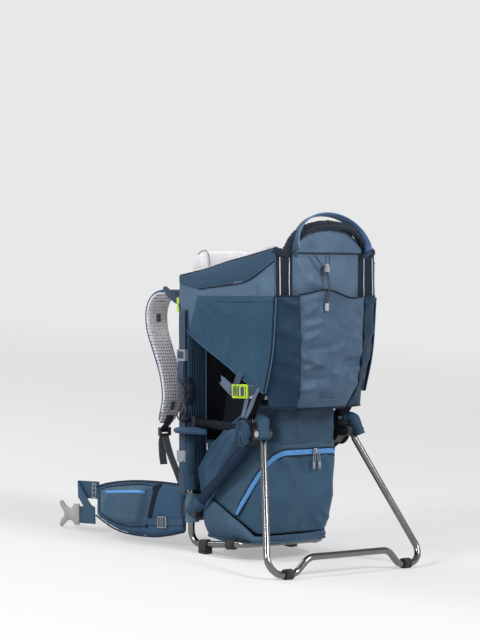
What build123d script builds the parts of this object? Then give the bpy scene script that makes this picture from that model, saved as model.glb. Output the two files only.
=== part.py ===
from build123d import *
import os
from math import atan2, cos, degrees, radians, sin, tan

# Framed child carrier. X runs across the wearer, from their left (-) to their right (+), +Y is
# the wearer's forward direction and +Z is up. It is drawn upright, and each finished piece is then
# stood on the floor, where the pack leans forward on its kickstand and its two front feet.

# ---- driving dimensions, mm -------------------------------------------------------------------
TUBE_R = 7.0            # frame tube, outer radius
TUBE_WALL = 1.3
HOOP_R = 6.0            # lighter tube of the rear hoop and crossbars
FIT = 0.06              # radial clearance of a tube in its socket and of a pin in its bore
GAP = 0.4               # air between soft pieces

UPRIGHT_X = 125.0       # half the distance between the back uprights
UPRIGHT_Y = 218.0
FRAME_TOP = 590.0
BASE_FRONT_Z = 44.0
BASE_REAR_Y = 64.0
BASE_REAR_X = 112.0
BASE_RISE = 0.0560748   # how much the base loop climbs for each mm towards the rear

PIVOT_X = 123.0         # kickstand hinge
PIVOT_Y = -2.0
PIVOT_Z = 283.0
KNUCKLE_R = 11.0
KNUCKLE_HALF = 9.7
PIN_R = 4.0
EAR_THICK = 5.0

FOOT_Y = -122.0         # line on which the kickstand feet rest
FOOT_R = 11.0
FOOT_DROP = 10.0        # tube centre above the floor at the kickstand feet
FRONT_FOOT_Y = 178.0
FRONT_FOOT_R = 10.5
FRONT_DROP = 19.0        # tube centre above the floor at the front feet
CENTRE_Y = 336.56       # middle of the standing pack's depth, measured from the kickstand feet

SIDE_X = 140.0          # outer face of the cockpit side panels
SIDE_THICK = 7.5
PANEL_HALF = 111.0      # half width of the rear panel
REAR_Y = -60.0          # inner face of the rear panel at the child's shoulders

BAG_BOTTOM = 64.5       # lower compartment
BAG_TOP = 262.0
BAG_WALL = 3.0

STRAP_X = 90.0          # centre of a shoulder strap
STRAP_WIDTH = 62.0
STRAP_THICK = 12.0

WING_ROOT = (118.0, 236.0)
WING_TIP = (190.0, 455.0)
WING_THICK = 18.0
POCKET_THICK = 16.0
BELT_THICK = 4.8        # the webbing and its doubled end, folded flat
BELT_TURN = 8.0         # degrees that the belt webbing turns further forward than the wing

WEB_X = 146.0           # foot strap webbing, inner face
WEB_Y = 222.0
WEB_WIDTH = 20.0
WEB_THICK = 1.6

SIDES = (("left", -1), ("right", 1))

os.makedirs("parts", exist_ok=True)

# ---- standing position ------------------------------------------------------------------------
base_rear_z = BASE_FRONT_Z + BASE_RISE * (UPRIGHT_Y - BASE_REAR_Y)
front_foot_z = BASE_FRONT_Z + BASE_RISE * (UPRIGHT_Y - FRONT_FOOT_Y)
LEAN = degrees(atan2(front_foot_z - FRONT_DROP, FRONT_FOOT_Y - FOOT_Y))
STAND = Pos(0, -CENTRE_Y, 0) * Rot(X=-LEAN) * Pos(0, -FOOT_Y, 0)
FLOOR = Plane(origin=(0, FOOT_Y, 0), x_dir=(1, 0, 0), z_dir=(0, -sin(radians(LEAN)), cos(radians(LEAN))))


def write(piece, name):
    """Label a finished piece, stand it on the floor and write it."""
    standing = piece.part.moved(STAND)
    standing.label = name
    export_step(standing, f"parts/{name}.step")


# ---- shapes that repeat -----------------------------------------------------------------------
def mirrored(points):
    """The points of one side, then the same points on the other side in reverse."""
    return [*points, *[(-x, y, z) for x, y, z in reversed(points)]]


def add_tube(points, bends, outer, wall):
    """Sweep a hollow tube along straight runs joined by tangent arcs."""
    with BuildLine() as route:
        if bends:
            FilletPolyline(*points, radius=bends)
        else:
            Line(*points)
    path = route.wires()[0]
    with BuildSketch(Plane(origin=path @ 0, z_dir=path % 0)) as section:
        Circle(outer)
        if wall < outer:
            Circle(outer - wall, mode=Mode.SUBTRACT)
    sweep(section.sketch, path=path)


def add_slab(plane, outline, thick, corner=0.0, both=False, mode=Mode.ADD):
    """Extrude an outline given in the plane's own coordinates, with rounded corners."""
    with BuildSketch(plane) as profile:
        with BuildLine():
            if corner:
                FilletPolyline(*outline, radius=corner, close=True)
            else:
                Polyline(*outline, close=True)
        make_face()
    extrude(profile.sketch, amount=thick, both=both, mode=mode)


def add_band(plane, route, bends, thick, width):
    """Extrude a strap's side view, a line of even thickness, to the strap's width."""
    with BuildSketch(plane) as side_view:
        with BuildLine():
            FilletPolyline(*route, radius=bends)
        trace(line_width=thick)
    extrude(side_view.sketch, amount=width / 2, both=True)


def across(x):
    """The plane at x whose own axes are Y and Z."""
    return Plane(origin=(x, 0, 0), x_dir=(0, 1, 0), z_dir=(1, 0, 0))


def facing(y):
    """The plane at y whose own axes are X and Z, seen from behind the pack."""
    return Plane(origin=(0, y, 0), x_dir=(1, 0, 0), z_dir=(0, -1, 0))


def block(low, high, mode=Mode.ADD):
    """A box between two corners."""
    size = [b - a for a, b in zip(low, high)]
    middle = (Vector(*low) + Vector(*high)) * 0.5
    with Locations(middle):
        Box(*size, mode=mode)


def rod(start, end, radius, mode=Mode.ADD):
    """A straight round bar between two points."""
    line = Vector(*end) - Vector(*start)
    middle = Vector(*start) + line * 0.5
    with Locations(Plane(origin=middle, z_dir=line).location):
        Cylinder(radius, line.length, mode=mode)


# ---- frame ------------------------------------------------------------------------------------
BASE_BEND = 30.0
FRONT_BEND = 28.0
TOP_BEND = 45.0
frame_route = mirrored([
    (-0.5, BASE_REAR_Y - 2, base_rear_z),
    (-BASE_REAR_X, BASE_REAR_Y, base_rear_z),
    (-UPRIGHT_X, UPRIGHT_Y, BASE_FRONT_Z),
    (-UPRIGHT_X, UPRIGHT_Y, FRAME_TOP),
])
with BuildPart() as back_frame:
    bends = [BASE_BEND, FRONT_BEND, TOP_BEND, TOP_BEND, FRONT_BEND, BASE_BEND]
    add_tube(frame_route, bends, TUBE_R, TUBE_WALL)
write(back_frame, "back_frame")

HOOP_START = (-PIVOT_X, 32.0, 292.0)
HOOP_TOP = 697.0
HOOP_SOCKET = 20.0
hoop_route = mirrored([
    HOOP_START,
    (-PIVOT_X, 28, 330),
    (-119, -38, 420),
    (-112, -50, 640),
    (-60, -53.5, HOOP_TOP),
])
with BuildPart() as rear_hoop:
    add_tube(hoop_route, [40, 70, 60, 40, 40, 60, 70, 40], HOOP_R, TUBE_WALL)
write(rear_hoop, "rear_hoop")

STRUT_START = (PIVOT_X, 40.0, 268.0)
STRUT_END = (UPRIGHT_X, 203.0, 122.0)
ARM_START = (PIVOT_X, 44.0, 291.0)
ARM_END = (UPRIGHT_X, 204.0, 300.0)
with BuildPart() as side_struts:
    for _, side in SIDES:
        for brace in ((STRUT_START, STRUT_END), (ARM_START, ARM_END)):
            ends = [(side * x, y, z) for x, y, z in brace]
            add_tube(ends, None, TUBE_R, TUBE_WALL)
write(side_struts, "side_struts")

LUMBAR_BAR_Z = 150.0
SEAT_BAR_Z = 338.0
with BuildPart() as crossbars:
    for height in (LUMBAR_BAR_Z, SEAT_BAR_Z):
        reach = UPRIGHT_X - TUBE_R - 0.2
        ends = [(-reach, UPRIGHT_Y, height), (reach, UPRIGHT_Y, height)]
        add_tube(ends, None, HOOP_R, TUBE_WALL)
write(crossbars, "crossbars")

CLAMP_HALF = 12.0
CLAMP_REAR = 193.0
CLAMP_HEIGHTS = ((104.0, 134.0), (287.0, 312.0))
with BuildPart() as frame_clamps:
    for _, side in SIDES:
        low_x, high_x = sorted((side * (UPRIGHT_X - CLAMP_HALF), side * (UPRIGHT_X + CLAMP_HALF)))
        for low_z, high_z in CLAMP_HEIGHTS:
            block((low_x, CLAMP_REAR, low_z), (high_x, UPRIGHT_Y + CLAMP_HALF, high_z))
        post = side * UPRIGHT_X
        rod((post, UPRIGHT_Y, 90), (post, UPRIGHT_Y, 330), TUBE_R + FIT, mode=Mode.SUBTRACT)
        for start, end in ((STRUT_START, STRUT_END), (ARM_START, ARM_END)):
            a = (side * start[0], start[1], start[2])
            b = (side * end[0], end[1], end[2])
            rod(a, b, TUBE_R + FIT, mode=Mode.SUBTRACT)
write(frame_clamps, "frame_clamps")

REAR_FOOT_Y = 103.0
FOOT_LENGTH = 20.0
with BuildPart() as base_feet:
    for _, side in SIDES:
        for foot_y in (FRONT_FOOT_Y, REAR_FOOT_Y):
            share = (foot_y - BASE_REAR_Y) / (UPRIGHT_Y - BASE_REAR_Y)
            x = side * (BASE_REAR_X + share * (UPRIGHT_X - BASE_REAR_X))
            z = base_rear_z - BASE_RISE * (foot_y - BASE_REAR_Y)
            run = Vector(side * (UPRIGHT_X - BASE_REAR_X), UPRIGHT_Y - BASE_REAR_Y, BASE_FRONT_Z - base_rear_z)
            half = run.normalized() * (FOOT_LENGTH / 2)
            middle = Vector(x, foot_y, z)
            rod(middle - half, middle + half, FRONT_FOOT_R)
            if foot_y == FRONT_FOOT_Y:
                low = (x - FRONT_FOOT_R, foot_y - FOOT_LENGTH / 2, z - 2 * FRONT_DROP)
                block(low, (x + FRONT_FOOT_R, foot_y + FOOT_LENGTH / 2, z))
            rod(middle - half * 2, middle + half * 2, TUBE_R + FIT, mode=Mode.SUBTRACT)
    split(bisect_by=FLOOR, keep=Keep.TOP)
write(base_feet, "base_feet")

# ---- kickstand and its hinges -----------------------------------------------------------------
LEG_BEND = (-217.0, -116.0, 28.0)
leg = Vector(LEG_BEND[0] + PIVOT_X, LEG_BEND[1] - PIVOT_Y, LEG_BEND[2] - PIVOT_Z).normalized()
pivot = Vector(-PIVOT_X, PIVOT_Y, PIVOT_Z)
SOCKET_DEPTH = 17.0      # from the pivot to the end of the leg's tube
SPIGOT_END = 38.0
leg_top = pivot + leg * SOCKET_DEPTH
kick_route = mirrored([
    (leg_top.X, leg_top.Y, leg_top.Z),
    LEG_BEND,
    (-190, FOOT_Y, FOOT_DROP),
    (-146, FOOT_Y, FOOT_DROP),
    (-112, -125, 41),
])
with BuildPart() as kickstand:
    add_tube(kick_route, [30, 28, 26, 38, 38, 26, 28, 30], TUBE_R, TUBE_WALL)
write(kickstand, "kickstand")

KICK_FOOT_X = 167.0
KICK_FOOT_HALF = 9.0
with BuildPart() as kickstand_feet:
    for _, side in SIDES:
        a = (side * (KICK_FOOT_X - KICK_FOOT_HALF), FOOT_Y, FOOT_DROP)
        b = (side * (KICK_FOOT_X + KICK_FOOT_HALF), FOOT_Y, FOOT_DROP)
        rod(a, b, FOOT_R)
        rod(a, b, TUBE_R + FIT, mode=Mode.SUBTRACT)
    split(bisect_by=FLOOR, keep=Keep.TOP)
write(kickstand_feet, "kickstand_feet")

with BuildPart() as kickstand_knuckles:
    for _, side in SIDES:
        inner = (side * (PIVOT_X - KNUCKLE_HALF), PIVOT_Y, PIVOT_Z)
        outer = (side * (PIVOT_X + KNUCKLE_HALF), PIVOT_Y, PIVOT_Z)
        rod(inner, outer, KNUCKLE_R)
        toward = Vector(-side * leg.X, leg.Y, leg.Z)
        centre = Vector(side * PIVOT_X, PIVOT_Y, PIVOT_Z)
        rod(centre, centre + toward * SPIGOT_END, TUBE_R - TUBE_WALL - FIT)
        rod(inner, outer, PIN_R + FIT, mode=Mode.SUBTRACT)
write(kickstand_knuckles, "kickstand_knuckles")

HOUSING_HALF = 15.0
HOUSING_REAR = 18.0
with BuildPart() as hinge_housings:
    for _, side in SIDES:
        low_x, high_x = sorted((side * (PIVOT_X - HOUSING_HALF), side * (PIVOT_X + HOUSING_HALF)))
        outline = [(HOUSING_REAR, 304), (58, 304), (58, 256), (32, 256), (HOUSING_REAR, 270)]
        add_slab(across(low_x), outline, 2 * HOUSING_HALF, corner=4)
        for ear_x in (low_x, high_x - EAR_THICK):
            with BuildSketch(across(ear_x)):
                with Locations((PIVOT_Y, PIVOT_Z)):
                    Circle(KNUCKLE_R)
                ear_end = HOUSING_REAR + 2
                with Locations(((PIVOT_Y + ear_end) / 2, PIVOT_Z)):
                    Rectangle(ear_end - PIVOT_Y, 2 * KNUCKLE_R)
            extrude(amount=EAR_THICK)
        a = (low_x - 1, PIVOT_Y, PIVOT_Z)
        b = (high_x + 1, PIVOT_Y, PIVOT_Z)
        rod(a, b, PIN_R + FIT, mode=Mode.SUBTRACT)
        for start, end in ((STRUT_START, STRUT_END), (ARM_START, ARM_END)):
            a = (side * start[0], start[1], start[2])
            b = (side * end[0], end[1], end[2])
            rod(a, b, TUBE_R + FIT, mode=Mode.SUBTRACT)
        a = (side * PIVOT_X, *HOOP_START[1:])
        slope = (hoop_route[1][1] - HOOP_START[1]) / (hoop_route[1][2] - HOOP_START[2])
        b = (side * PIVOT_X, HOOP_START[1] + slope * HOOP_SOCKET, HOOP_START[2] + HOOP_SOCKET)
        rod(a, b, HOOP_R + FIT, mode=Mode.SUBTRACT)
write(hinge_housings, "hinge_housings")

HEAD_R = 6.5            # pin heads
HEAD_THICK = 2.0
with BuildPart() as hinge_pins:
    for _, side in SIDES:
        reach = HOUSING_HALF + 1.5
        a = (side * (PIVOT_X - reach), PIVOT_Y, PIVOT_Z)
        b = (side * (PIVOT_X + reach), PIVOT_Y, PIVOT_Z)
        rod(a, b, PIN_R)
        rod(b, (side * (PIVOT_X + reach + HEAD_THICK), PIVOT_Y, PIVOT_Z), HEAD_R)
write(hinge_pins, "hinge_pins")

# ---- back system ------------------------------------------------------------------------------
TRACK_HALF = 18.0
TRACK_Y = (226.0, 229.0)
TRACK_Z = (350.0, 575.0)
SLOT_HALF = 12.0
SLOT_HEIGHT = 8.0
SLOT_PITCH = 26.0
SLOT_START = 365.0
with BuildPart() as back_track:
    block((-TRACK_HALF, TRACK_Y[0], TRACK_Z[0]), (TRACK_HALF, TRACK_Y[1], TRACK_Z[1]))
    for rung in range(8):
        slot_z = SLOT_START + SLOT_PITCH * rung
        low = (-SLOT_HALF, TRACK_Y[0] - 1, slot_z)
        block(low, (SLOT_HALF, TRACK_Y[1] + 1, slot_z + SLOT_HEIGHT), mode=Mode.SUBTRACT)
    for height in (SEAT_BAR_Z + HOOP_R + 6.5, FRAME_TOP - TUBE_R - 10):
        low = (-TRACK_HALF, UPRIGHT_Y + TUBE_R + 0.3, height)
        block(low, (TRACK_HALF, TRACK_Y[0], height + SLOT_HEIGHT))
write(back_track, "back_track")

YOKE_Z = (500.0, 545.0)
YOKE_Y = (229.5, 249.0, 252.5)      # back of the sliding block, back and front of the plate
YOKE_HALF = 121.0
BLOCK_HALF = 30.0
with BuildPart() as yoke:
    block((-BLOCK_HALF, YOKE_Y[0], YOKE_Z[0]), (BLOCK_HALF, YOKE_Y[1], YOKE_Z[1]))
    block((-YOKE_HALF, YOKE_Y[1], YOKE_Z[0]), (YOKE_HALF, YOKE_Y[2], YOKE_Z[1]))
write(yoke, "yoke")

strap_route = [
    (259, 508), (262, 548), (318, 572), (368, 548), (370, 495),
    (345, 440), (322, 385), (322, 335), (343, 292),
]
strap_bends = [20, 50, 30, 40, 90, 90, 50]
for name, side in SIDES:
    with BuildPart() as shoulder_strap:
        add_band(across(side * STRAP_X), strap_route, strap_bends, STRAP_THICK, STRAP_WIDTH)
    write(shoulder_strap, f"shoulder_strap_{name}")

LOCK_Y = 346.0
LOCK_Z = 283.0
LOCK_HALF = 15.0
LOCK_SLOT_HALF = 11.0
with BuildPart() as strap_locks:
    for _, side in SIDES:
        low_x, high_x = sorted((side * (STRAP_X - LOCK_HALF), side * (STRAP_X + LOCK_HALF)))
        block((low_x, LOCK_Y - 4, LOCK_Z - 18), (high_x, LOCK_Y + 4, LOCK_Z))
        low_x, high_x = sorted((side * (STRAP_X - LOCK_SLOT_HALF), side * (STRAP_X + LOCK_SLOT_HALF)))
        for slot_z in (LOCK_Z - 14, LOCK_Z - 7):
            block((low_x, LOCK_Y - 5, slot_z), (high_x, LOCK_Y + 5, slot_z + 3.5), mode=Mode.SUBTRACT)
write(strap_locks, "strap_locks")

LIFTER_X = 127.5
with BuildPart() as load_lifters:
    for _, side in SIDES:
        slope = [(252, 546), (300, 553), (346, 556)]
        add_band(across(side * LIFTER_X), slope, [200], 2.4, 9)
write(load_lifters, "load_lifters")

with BuildPart() as load_lifter_hooks:
    for _, side in SIDES:
        low_x, high_x = sorted((side * 121.0, side * 139.0))
        block((low_x, 242, 530), (high_x, 249, 560))
        low_x, high_x = sorted((side * 125.0, side * 135.0))
        block((low_x, 241, 549), (high_x, 251, 554), mode=Mode.SUBTRACT)
        block((low_x, 241, 537), (high_x, 251, 542), mode=Mode.SUBTRACT)
write(load_lifter_hooks, "load_lifter_hooks")

with BuildPart() as lower_webbing:
    for _, side in SIDES:
        run = Vector(side * 12, -84, -132)
        start = Vector(side * STRAP_X, LOCK_Y - 3, LOCK_Z - 21)
        top = Plane(origin=start, x_dir=(1, side * 0.143, 0), z_dir=run)
        with BuildSketch(top):
            Rectangle(20, 2.2)
        extrude(amount=run.length)
write(lower_webbing, "lower_webbing")

STERNUM_Z = 366.0
for name, side in SIDES:
    with BuildPart() as sternum_strap:
        low_x, high_x = sorted((side * 57.5, side * 24.0))
        block((low_x, 330, STERNUM_Z - 10), (high_x, 332, STERNUM_Z + 10))
        low_x, high_x = sorted((side * 58.0, side * 51.0))
        block((low_x, 327, STERNUM_Z - 14), (high_x, 335, STERNUM_Z + 14))
    write(sternum_strap, f"sternum_strap_{name}")

with BuildPart() as sternum_buckle_male:
    block((-23.5, 327, STERNUM_Z - 13), (-9, 335, STERNUM_Z + 13))
    for low_z in (-11.5, -1.5, 8.5):
        block((-9, 329.5, STERNUM_Z + low_z), (6, 332.5, STERNUM_Z + low_z + 3))
write(sternum_buckle_male, "sternum_buckle_male")

with BuildPart() as sternum_buckle_female:
    block((-8.5, 326.5, STERNUM_Z - 14), (23.5, 335.5, STERNUM_Z + 14))
    block((-10, 329, STERNUM_Z - 12.2), (8, 333, STERNUM_Z + 12.2), mode=Mode.SUBTRACT)
write(sternum_buckle_female, "sternum_buckle_female")

with BuildPart() as back_pads:
    for _, side in SIDES:
        plane = Plane(origin=(0, 230, 0), x_dir=(1, 0, 0), z_dir=(0, -1, 0))
        outline = [(side * 42, 250), (side * 108, 250), (side * 108, 488), (side * 42, 488)]
        add_slab(plane, outline, -16, corner=18)
write(back_pads, "back_pads")

with BuildPart() as lumbar_pad:
    plane = Plane(origin=(0, 231, 0), x_dir=(1, 0, 0), z_dir=(0, -1, 0))
    outline = [(-96, 92), (96, 92), (98, 160), (86, 236), (-86, 236), (-98, 160)]
    add_slab(plane, outline, -25, corner=16)
write(lumbar_pad, "lumbar_pad")

# ---- hip belt ---------------------------------------------------------------------------------
wing_run = Vector(WING_TIP[0] - WING_ROOT[0], WING_TIP[1] - WING_ROOT[1], 0)
WING_LENGTH = wing_run.length
wing_dir = wing_run.normalized()
belt_angle = atan2(wing_dir.X, wing_dir.Y) - radians(BELT_TURN)


def wing_plane(side, depth):
    """A plane along a wing, its own x forward along the belt and y up, depth inward of its middle."""
    along = Vector(side * wing_dir.X, wing_dir.Y, 0)
    inward = Vector(-side * wing_dir.Y, wing_dir.X, 0)
    origin = Vector(side * WING_ROOT[0], WING_ROOT[1], 0) + inward * depth
    return Plane(origin=origin, x_dir=along, z_dir=along.cross(Vector(0, 0, 1)))


def belt_plane(side):
    """The plane of the belt webbing ahead of a wing's tip, its own x forward and y up."""
    along = Vector(side * sin(belt_angle), cos(belt_angle), 0)
    origin = Vector(side * WING_TIP[0], WING_TIP[1], 0)
    return Plane(origin=origin, x_dir=along, z_dir=along.cross(Vector(0, 0, 1)))


WING_OUTLINE = [(4, 66), (70, 58), (170, 66), (WING_LENGTH, 92), (WING_LENGTH, 158), (150, 172), (4, 168)]
POCKET_OUTLINE = [(96, 76), (172, 80), (214, 100), (214, 152), (110, 164), (90, 150)]
BELT_OUTLINE = [(3.5, 165), (48, 165), (60, 150), (44.6, 122), (44.6, 74), (4, 86)]
for name, side in SIDES:
    with BuildPart() as hip_wing:
        add_slab(wing_plane(side, 0), WING_OUTLINE, WING_THICK / 2, corner=12, both=True)
    write(hip_wing, f"hip_wing_{name}")

    with BuildPart() as hip_pocket:
        depth = -(WING_THICK / 2 + GAP + POCKET_THICK / 2)
        add_slab(wing_plane(side, depth), POCKET_OUTLINE, POCKET_THICK / 2, corner=10, both=True)
    write(hip_pocket, f"hip_pocket_{name}")

    with BuildPart() as belt_strap:
        add_slab(belt_plane(side), BELT_OUTLINE, BELT_THICK / 2, corner=3, both=True)
    write(belt_strap, f"belt_strap_{name}")

BUCKLE_START = 47.5
BUCKLE_Z = 93.0
with BuildPart() as belt_buckle_male:
    plane = belt_plane(-1)
    plane.origin = plane.origin + Vector(0, 0, BUCKLE_Z)
    body = [(BUCKLE_START, -21), (BUCKLE_START, 21), (66, 17), (66, -17)]
    add_slab(plane, body, 4.5, corner=3, both=True)
    for prong in (-1, 1):
        outline = [(65, prong * 5), (65, prong * 13), (98, prong * 27), (100, prong * 19)]
        add_slab(plane, outline, 3.5, corner=1.5, both=True)
    add_slab(plane, [(65, -3), (65, 3), (92, 3), (92, -3)], 3, corner=1.5, both=True)
write(belt_buckle_male, "belt_buckle_male")

with BuildPart() as belt_buckle_female:
    plane = belt_plane(1)
    plane.origin = plane.origin + Vector(0, 0, BUCKLE_Z)
    body = [(BUCKLE_START, -27), (BUCKLE_START, 27), (98, 27), (98, -27)]
    add_slab(plane, body, 6, corner=4, both=True)
    mouth = [(68, -24), (68, 24), (100, 24), (100, -24)]
    add_slab(plane, mouth, 4, both=True, mode=Mode.SUBTRACT)
write(belt_buckle_female, "belt_buckle_female")

# ---- cockpit ----------------------------------------------------------------------------------
SIDE_OUTLINE = [
    (238, 604), (90, 631), (-54, 655), (-56, 560), (-46, 450), (-22, 368),
    (30, 386), (102, 428), (175, 466), (222, 500), (240, 548),
]
for name, side in SIDES:
    with BuildPart() as cockpit_side:
        low_x = side * SIDE_X if side < 0 else SIDE_X - SIDE_THICK
        add_slab(across(low_x), SIDE_OUTLINE, SIDE_THICK, corner=5)
    write(cockpit_side, f"cockpit_side_{name}")

with BuildPart() as cockpit_front:
    add_slab(facing(208), [(-115, 350), (115, 350), (115, 574), (-115, 574)], 11, corner=12)
write(cockpit_front, "cockpit_front")

with BuildPart() as head_pad:
    outline = [(192, 600), (236, 600), (238, 622), (230, 652), (206, 660), (192, 640)]
    add_slab(across(-118), outline, 236, corner=8)
write(head_pad, "head_pad")

OUTER_LINE = [(-66, 652), (-72, 560), (-63, 450), (-48, 375), (-15, 332)]
INNER_LINE = [(-4, 341), (-36, 382), (-51, 452), (REAR_Y, 560), (REAR_Y, 652)]
with BuildPart() as rear_panel:
    add_slab(across(-PANEL_HALF), [*OUTER_LINE, *INNER_LINE], 2 * PANEL_HALF)
write(rear_panel, "rear_panel")

DOME_HALF = 97.0
DOME_FOOT = 653.0
DOME_SHOULDER = 674.0
DOME_TOP = 713.0
with BuildPart() as head_panel:
    with BuildSketch(facing(REAR_Y - 0.3)):
        with BuildLine():
            foot_l = Line((-DOME_HALF, DOME_SHOULDER), (-DOME_HALF, DOME_FOOT))
            foot = Line(foot_l @ 1, (DOME_HALF, DOME_FOOT))
            foot_r = Line(foot @ 1, (DOME_HALF, DOME_SHOULDER))
            ThreePointArc(foot_r @ 1, (0, DOME_TOP), foot_l @ 0)
        make_face()
    extrude(amount=13)
write(head_panel, "head_panel")

SEAT_Z = 350.0
with BuildPart() as seat_pan:
    with BuildSketch(Plane.XY.offset(SEAT_Z)):
        with BuildLine():
            outline = [(-70, -8), (70, -8), (62, 60), (40, 110), (46, 190), (-46, 190), (-40, 110), (-62, 60)]
            FilletPolyline(*outline, radius=10, close=True)
        make_face()
    extrude(amount=12)
write(seat_pan, "seat_pan")

with BuildPart() as harness_straps:
    for _, side in SIDES:
        low_x, high_x = sorted((side * 22.0, side * 50.0))
        block((low_x, -48, 446), (high_x, -44, 612))
write(harness_straps, "harness_straps")

with BuildPart() as harness_buckle:
    block((-22, -40, 402), (22, -26, 438))
write(harness_buckle, "harness_buckle")

# ---- rear pocket, handle and drawcord ---------------------------------------------------------
POCKET_HALF = 101.0
with BuildPart() as rear_pocket:
    outer = [(-73.4, 566), (-92, 562), (-89, 450), (-78, 372), (-52, 336), (-44, 345), (-49.5, 376), (-64.6, 451)]
    add_slab(across(-POCKET_HALF), outer, 2 * POCKET_HALF)
    inner = [(-60, 580), (-89, 580), (-86, 450), (-75, 374), (-56, 348), (-30, 348)]
    add_slab(across(3 - POCKET_HALF), inner, 2 * (POCKET_HALF - 3), mode=Mode.SUBTRACT)
write(rear_pocket, "rear_pocket")

HANDLE_Y = -79.0
HANDLE_Z = 656.0
HANDLE_HALF = 103.0
HANDLE_RISE = 78.0
HANDLE_TILT = 17.0
with BuildPart() as grab_handle:
    tilt = radians(HANDLE_TILT)
    plane = Plane(origin=(0, HANDLE_Y, HANDLE_Z), x_dir=(1, 0, 0), z_dir=(0, -cos(tilt), sin(tilt)))
    with BuildSketch(plane):
        Ellipse(HANDLE_HALF + 1.6, HANDLE_RISE + 1.6)
        Ellipse(HANDLE_HALF - 1.6, HANDLE_RISE - 1.6, mode=Mode.SUBTRACT)
        with Locations((0, -HANDLE_RISE)):
            Rectangle(3 * HANDLE_HALF, 2 * HANDLE_RISE, mode=Mode.SUBTRACT)
    extrude(amount=9, both=True)
write(grab_handle, "grab_handle")

CORD_R = 1.2
LOCK_AT = (-20.0, -81.0)
CORD_LOCK_Z = (612.0, 624.0)
with BuildPart() as cord_lock:
    rod((*LOCK_AT, CORD_LOCK_Z[0]), (*LOCK_AT, CORD_LOCK_Z[1]), 6.5)
    rod((*LOCK_AT, CORD_LOCK_Z[0] + 3), (*LOCK_AT, CORD_LOCK_Z[1] + 1), 4.8, mode=Mode.SUBTRACT)
write(cord_lock, "cord_lock")

with BuildPart() as cord_lock_button:
    rod((*LOCK_AT, CORD_LOCK_Z[0] + 6.5), (*LOCK_AT, CORD_LOCK_Z[1] + 4), 4.6)
write(cord_lock_button, "cord_lock_button")

with BuildPart() as drawcord:
    for eyelet_x, lock_x in ((-52.0, -28.0), (-8.0, -12.0)):
        rod((eyelet_x, -75.5, 650), (lock_x, LOCK_AT[1], 620), CORD_R)
write(drawcord, "drawcord")

TAIL_ROUTES = (
    [(-22, -81, 611.5), (-23, -84, 597), (-26, -94, 582), (-33, -97, 564), (-37, -96.5, 549)],
    [(-18, -81, 611.5), (-18, -85, 596), (-21, -95, 580), (-29, -98, 562), (-33.5, -97, 549)],
)


def bend_radii(route):
    """The radius at each corner of a limp cord's route, as large as its two runs allow."""
    points = [Vector(*point) for point in route]
    radii = []
    for before, corner, after in zip(points, points[1:], points[2:]):
        run_in = corner - before
        run_out = after - corner
        half_turn = radians(run_in.get_angle(run_out)) / 2
        radii.append(0.45 * min(run_in.length, run_out.length) / tan(half_turn))
    return radii


with BuildPart() as drawcord_tail:
    for route in TAIL_ROUTES:
        radii = bend_radii(route)
        print("drawcord tail radii:", [round(radius, 1) for radius in radii])
        add_tube(route, radii, CORD_R, 2 * CORD_R)
write(drawcord_tail, "drawcord_tail")

with BuildPart() as drawcord_pull:
    rod((-35.5, -97, 533), (-35, -97, 548.2), 4.2)
write(drawcord_pull, "drawcord_pull")

# ---- lower compartment ------------------------------------------------------------------------
BAG_SECTIONS = (
    # height, rear y, front y, half width behind, half width in front
    (BAG_BOTTOM, 32.0, 190.0, 92.0, 108.0),
    (150.0, 2.0, 196.0, 90.0, 114.0),
    (BAG_TOP, -8.0, 196.0, 84.0, 114.0),
)
ZIP_START = (79.0, 124.0)
ZIP_TOP = (-6.0, 250.0)
FLAP_FOOT = (33.0, 72.0)


def add_bag(inset, mode=Mode.ADD):
    """Loft the compartment's rounded outside, or its inside when inset."""
    sections = []
    for height, rear, front, half_rear, half_front in BAG_SECTIONS:
        drop = inset if height == BAG_TOP else -inset if height == BAG_BOTTOM else 0
        with BuildSketch(Plane.XY.offset(height - drop)) as section:
            with BuildLine():
                corners = [
                    (inset - half_rear, rear + inset), (half_rear - inset, rear + inset),
                    (half_front - inset, front - inset), (inset - half_front, front - inset),
                ]
                FilletPolyline(*corners, radius=24 - inset, close=True)
            make_face()
        sections.append(section.sketch.face())
    loft(sections, ruled=True, mode=mode)


with BuildPart() as lower_compartment:
    add_bag(0)
    add_bag(BAG_WALL, mode=Mode.SUBTRACT)
    cut = [ZIP_START, ZIP_TOP, (-60, ZIP_TOP[1]), (-60, FLAP_FOOT[1]), FLAP_FOOT]
    add_slab(across(0), cut, 200, both=True, mode=Mode.SUBTRACT)
write(lower_compartment, "lower_compartment")

with BuildPart() as compartment_flap:
    add_bag(0)
    add_bag(BAG_WALL, mode=Mode.SUBTRACT)
    keep = [
        (ZIP_START[0] - 1.0, ZIP_START[1]), (ZIP_TOP[0] - 0.7, ZIP_TOP[1] - 0.7),
        (-60, ZIP_TOP[1] - 0.7), (-60, FLAP_FOOT[1] + 0.8), (FLAP_FOOT[0] - 0.2, FLAP_FOOT[1] + 0.8),
    ]
    add_slab(across(0), keep, 200, both=True, mode=Mode.INTERSECT)
write(compartment_flap, "compartment_flap")

ZIP_X = 14.0
PULL_Y = -13.9          # axis of the pull's pin
PULL_Z = 244.3
with BuildPart() as zip_slider:
    block((ZIP_X - 5, -12.4, 240), (ZIP_X + 5, -8.4, 249))
    block((ZIP_X - 2, -15.4, 241.5), (ZIP_X + 2, -12.4, 247))
    rod((ZIP_X - 3, PULL_Y, PULL_Z), (ZIP_X + 3, PULL_Y, PULL_Z), 0.9, mode=Mode.SUBTRACT)
write(zip_slider, "zip_slider")

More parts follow.
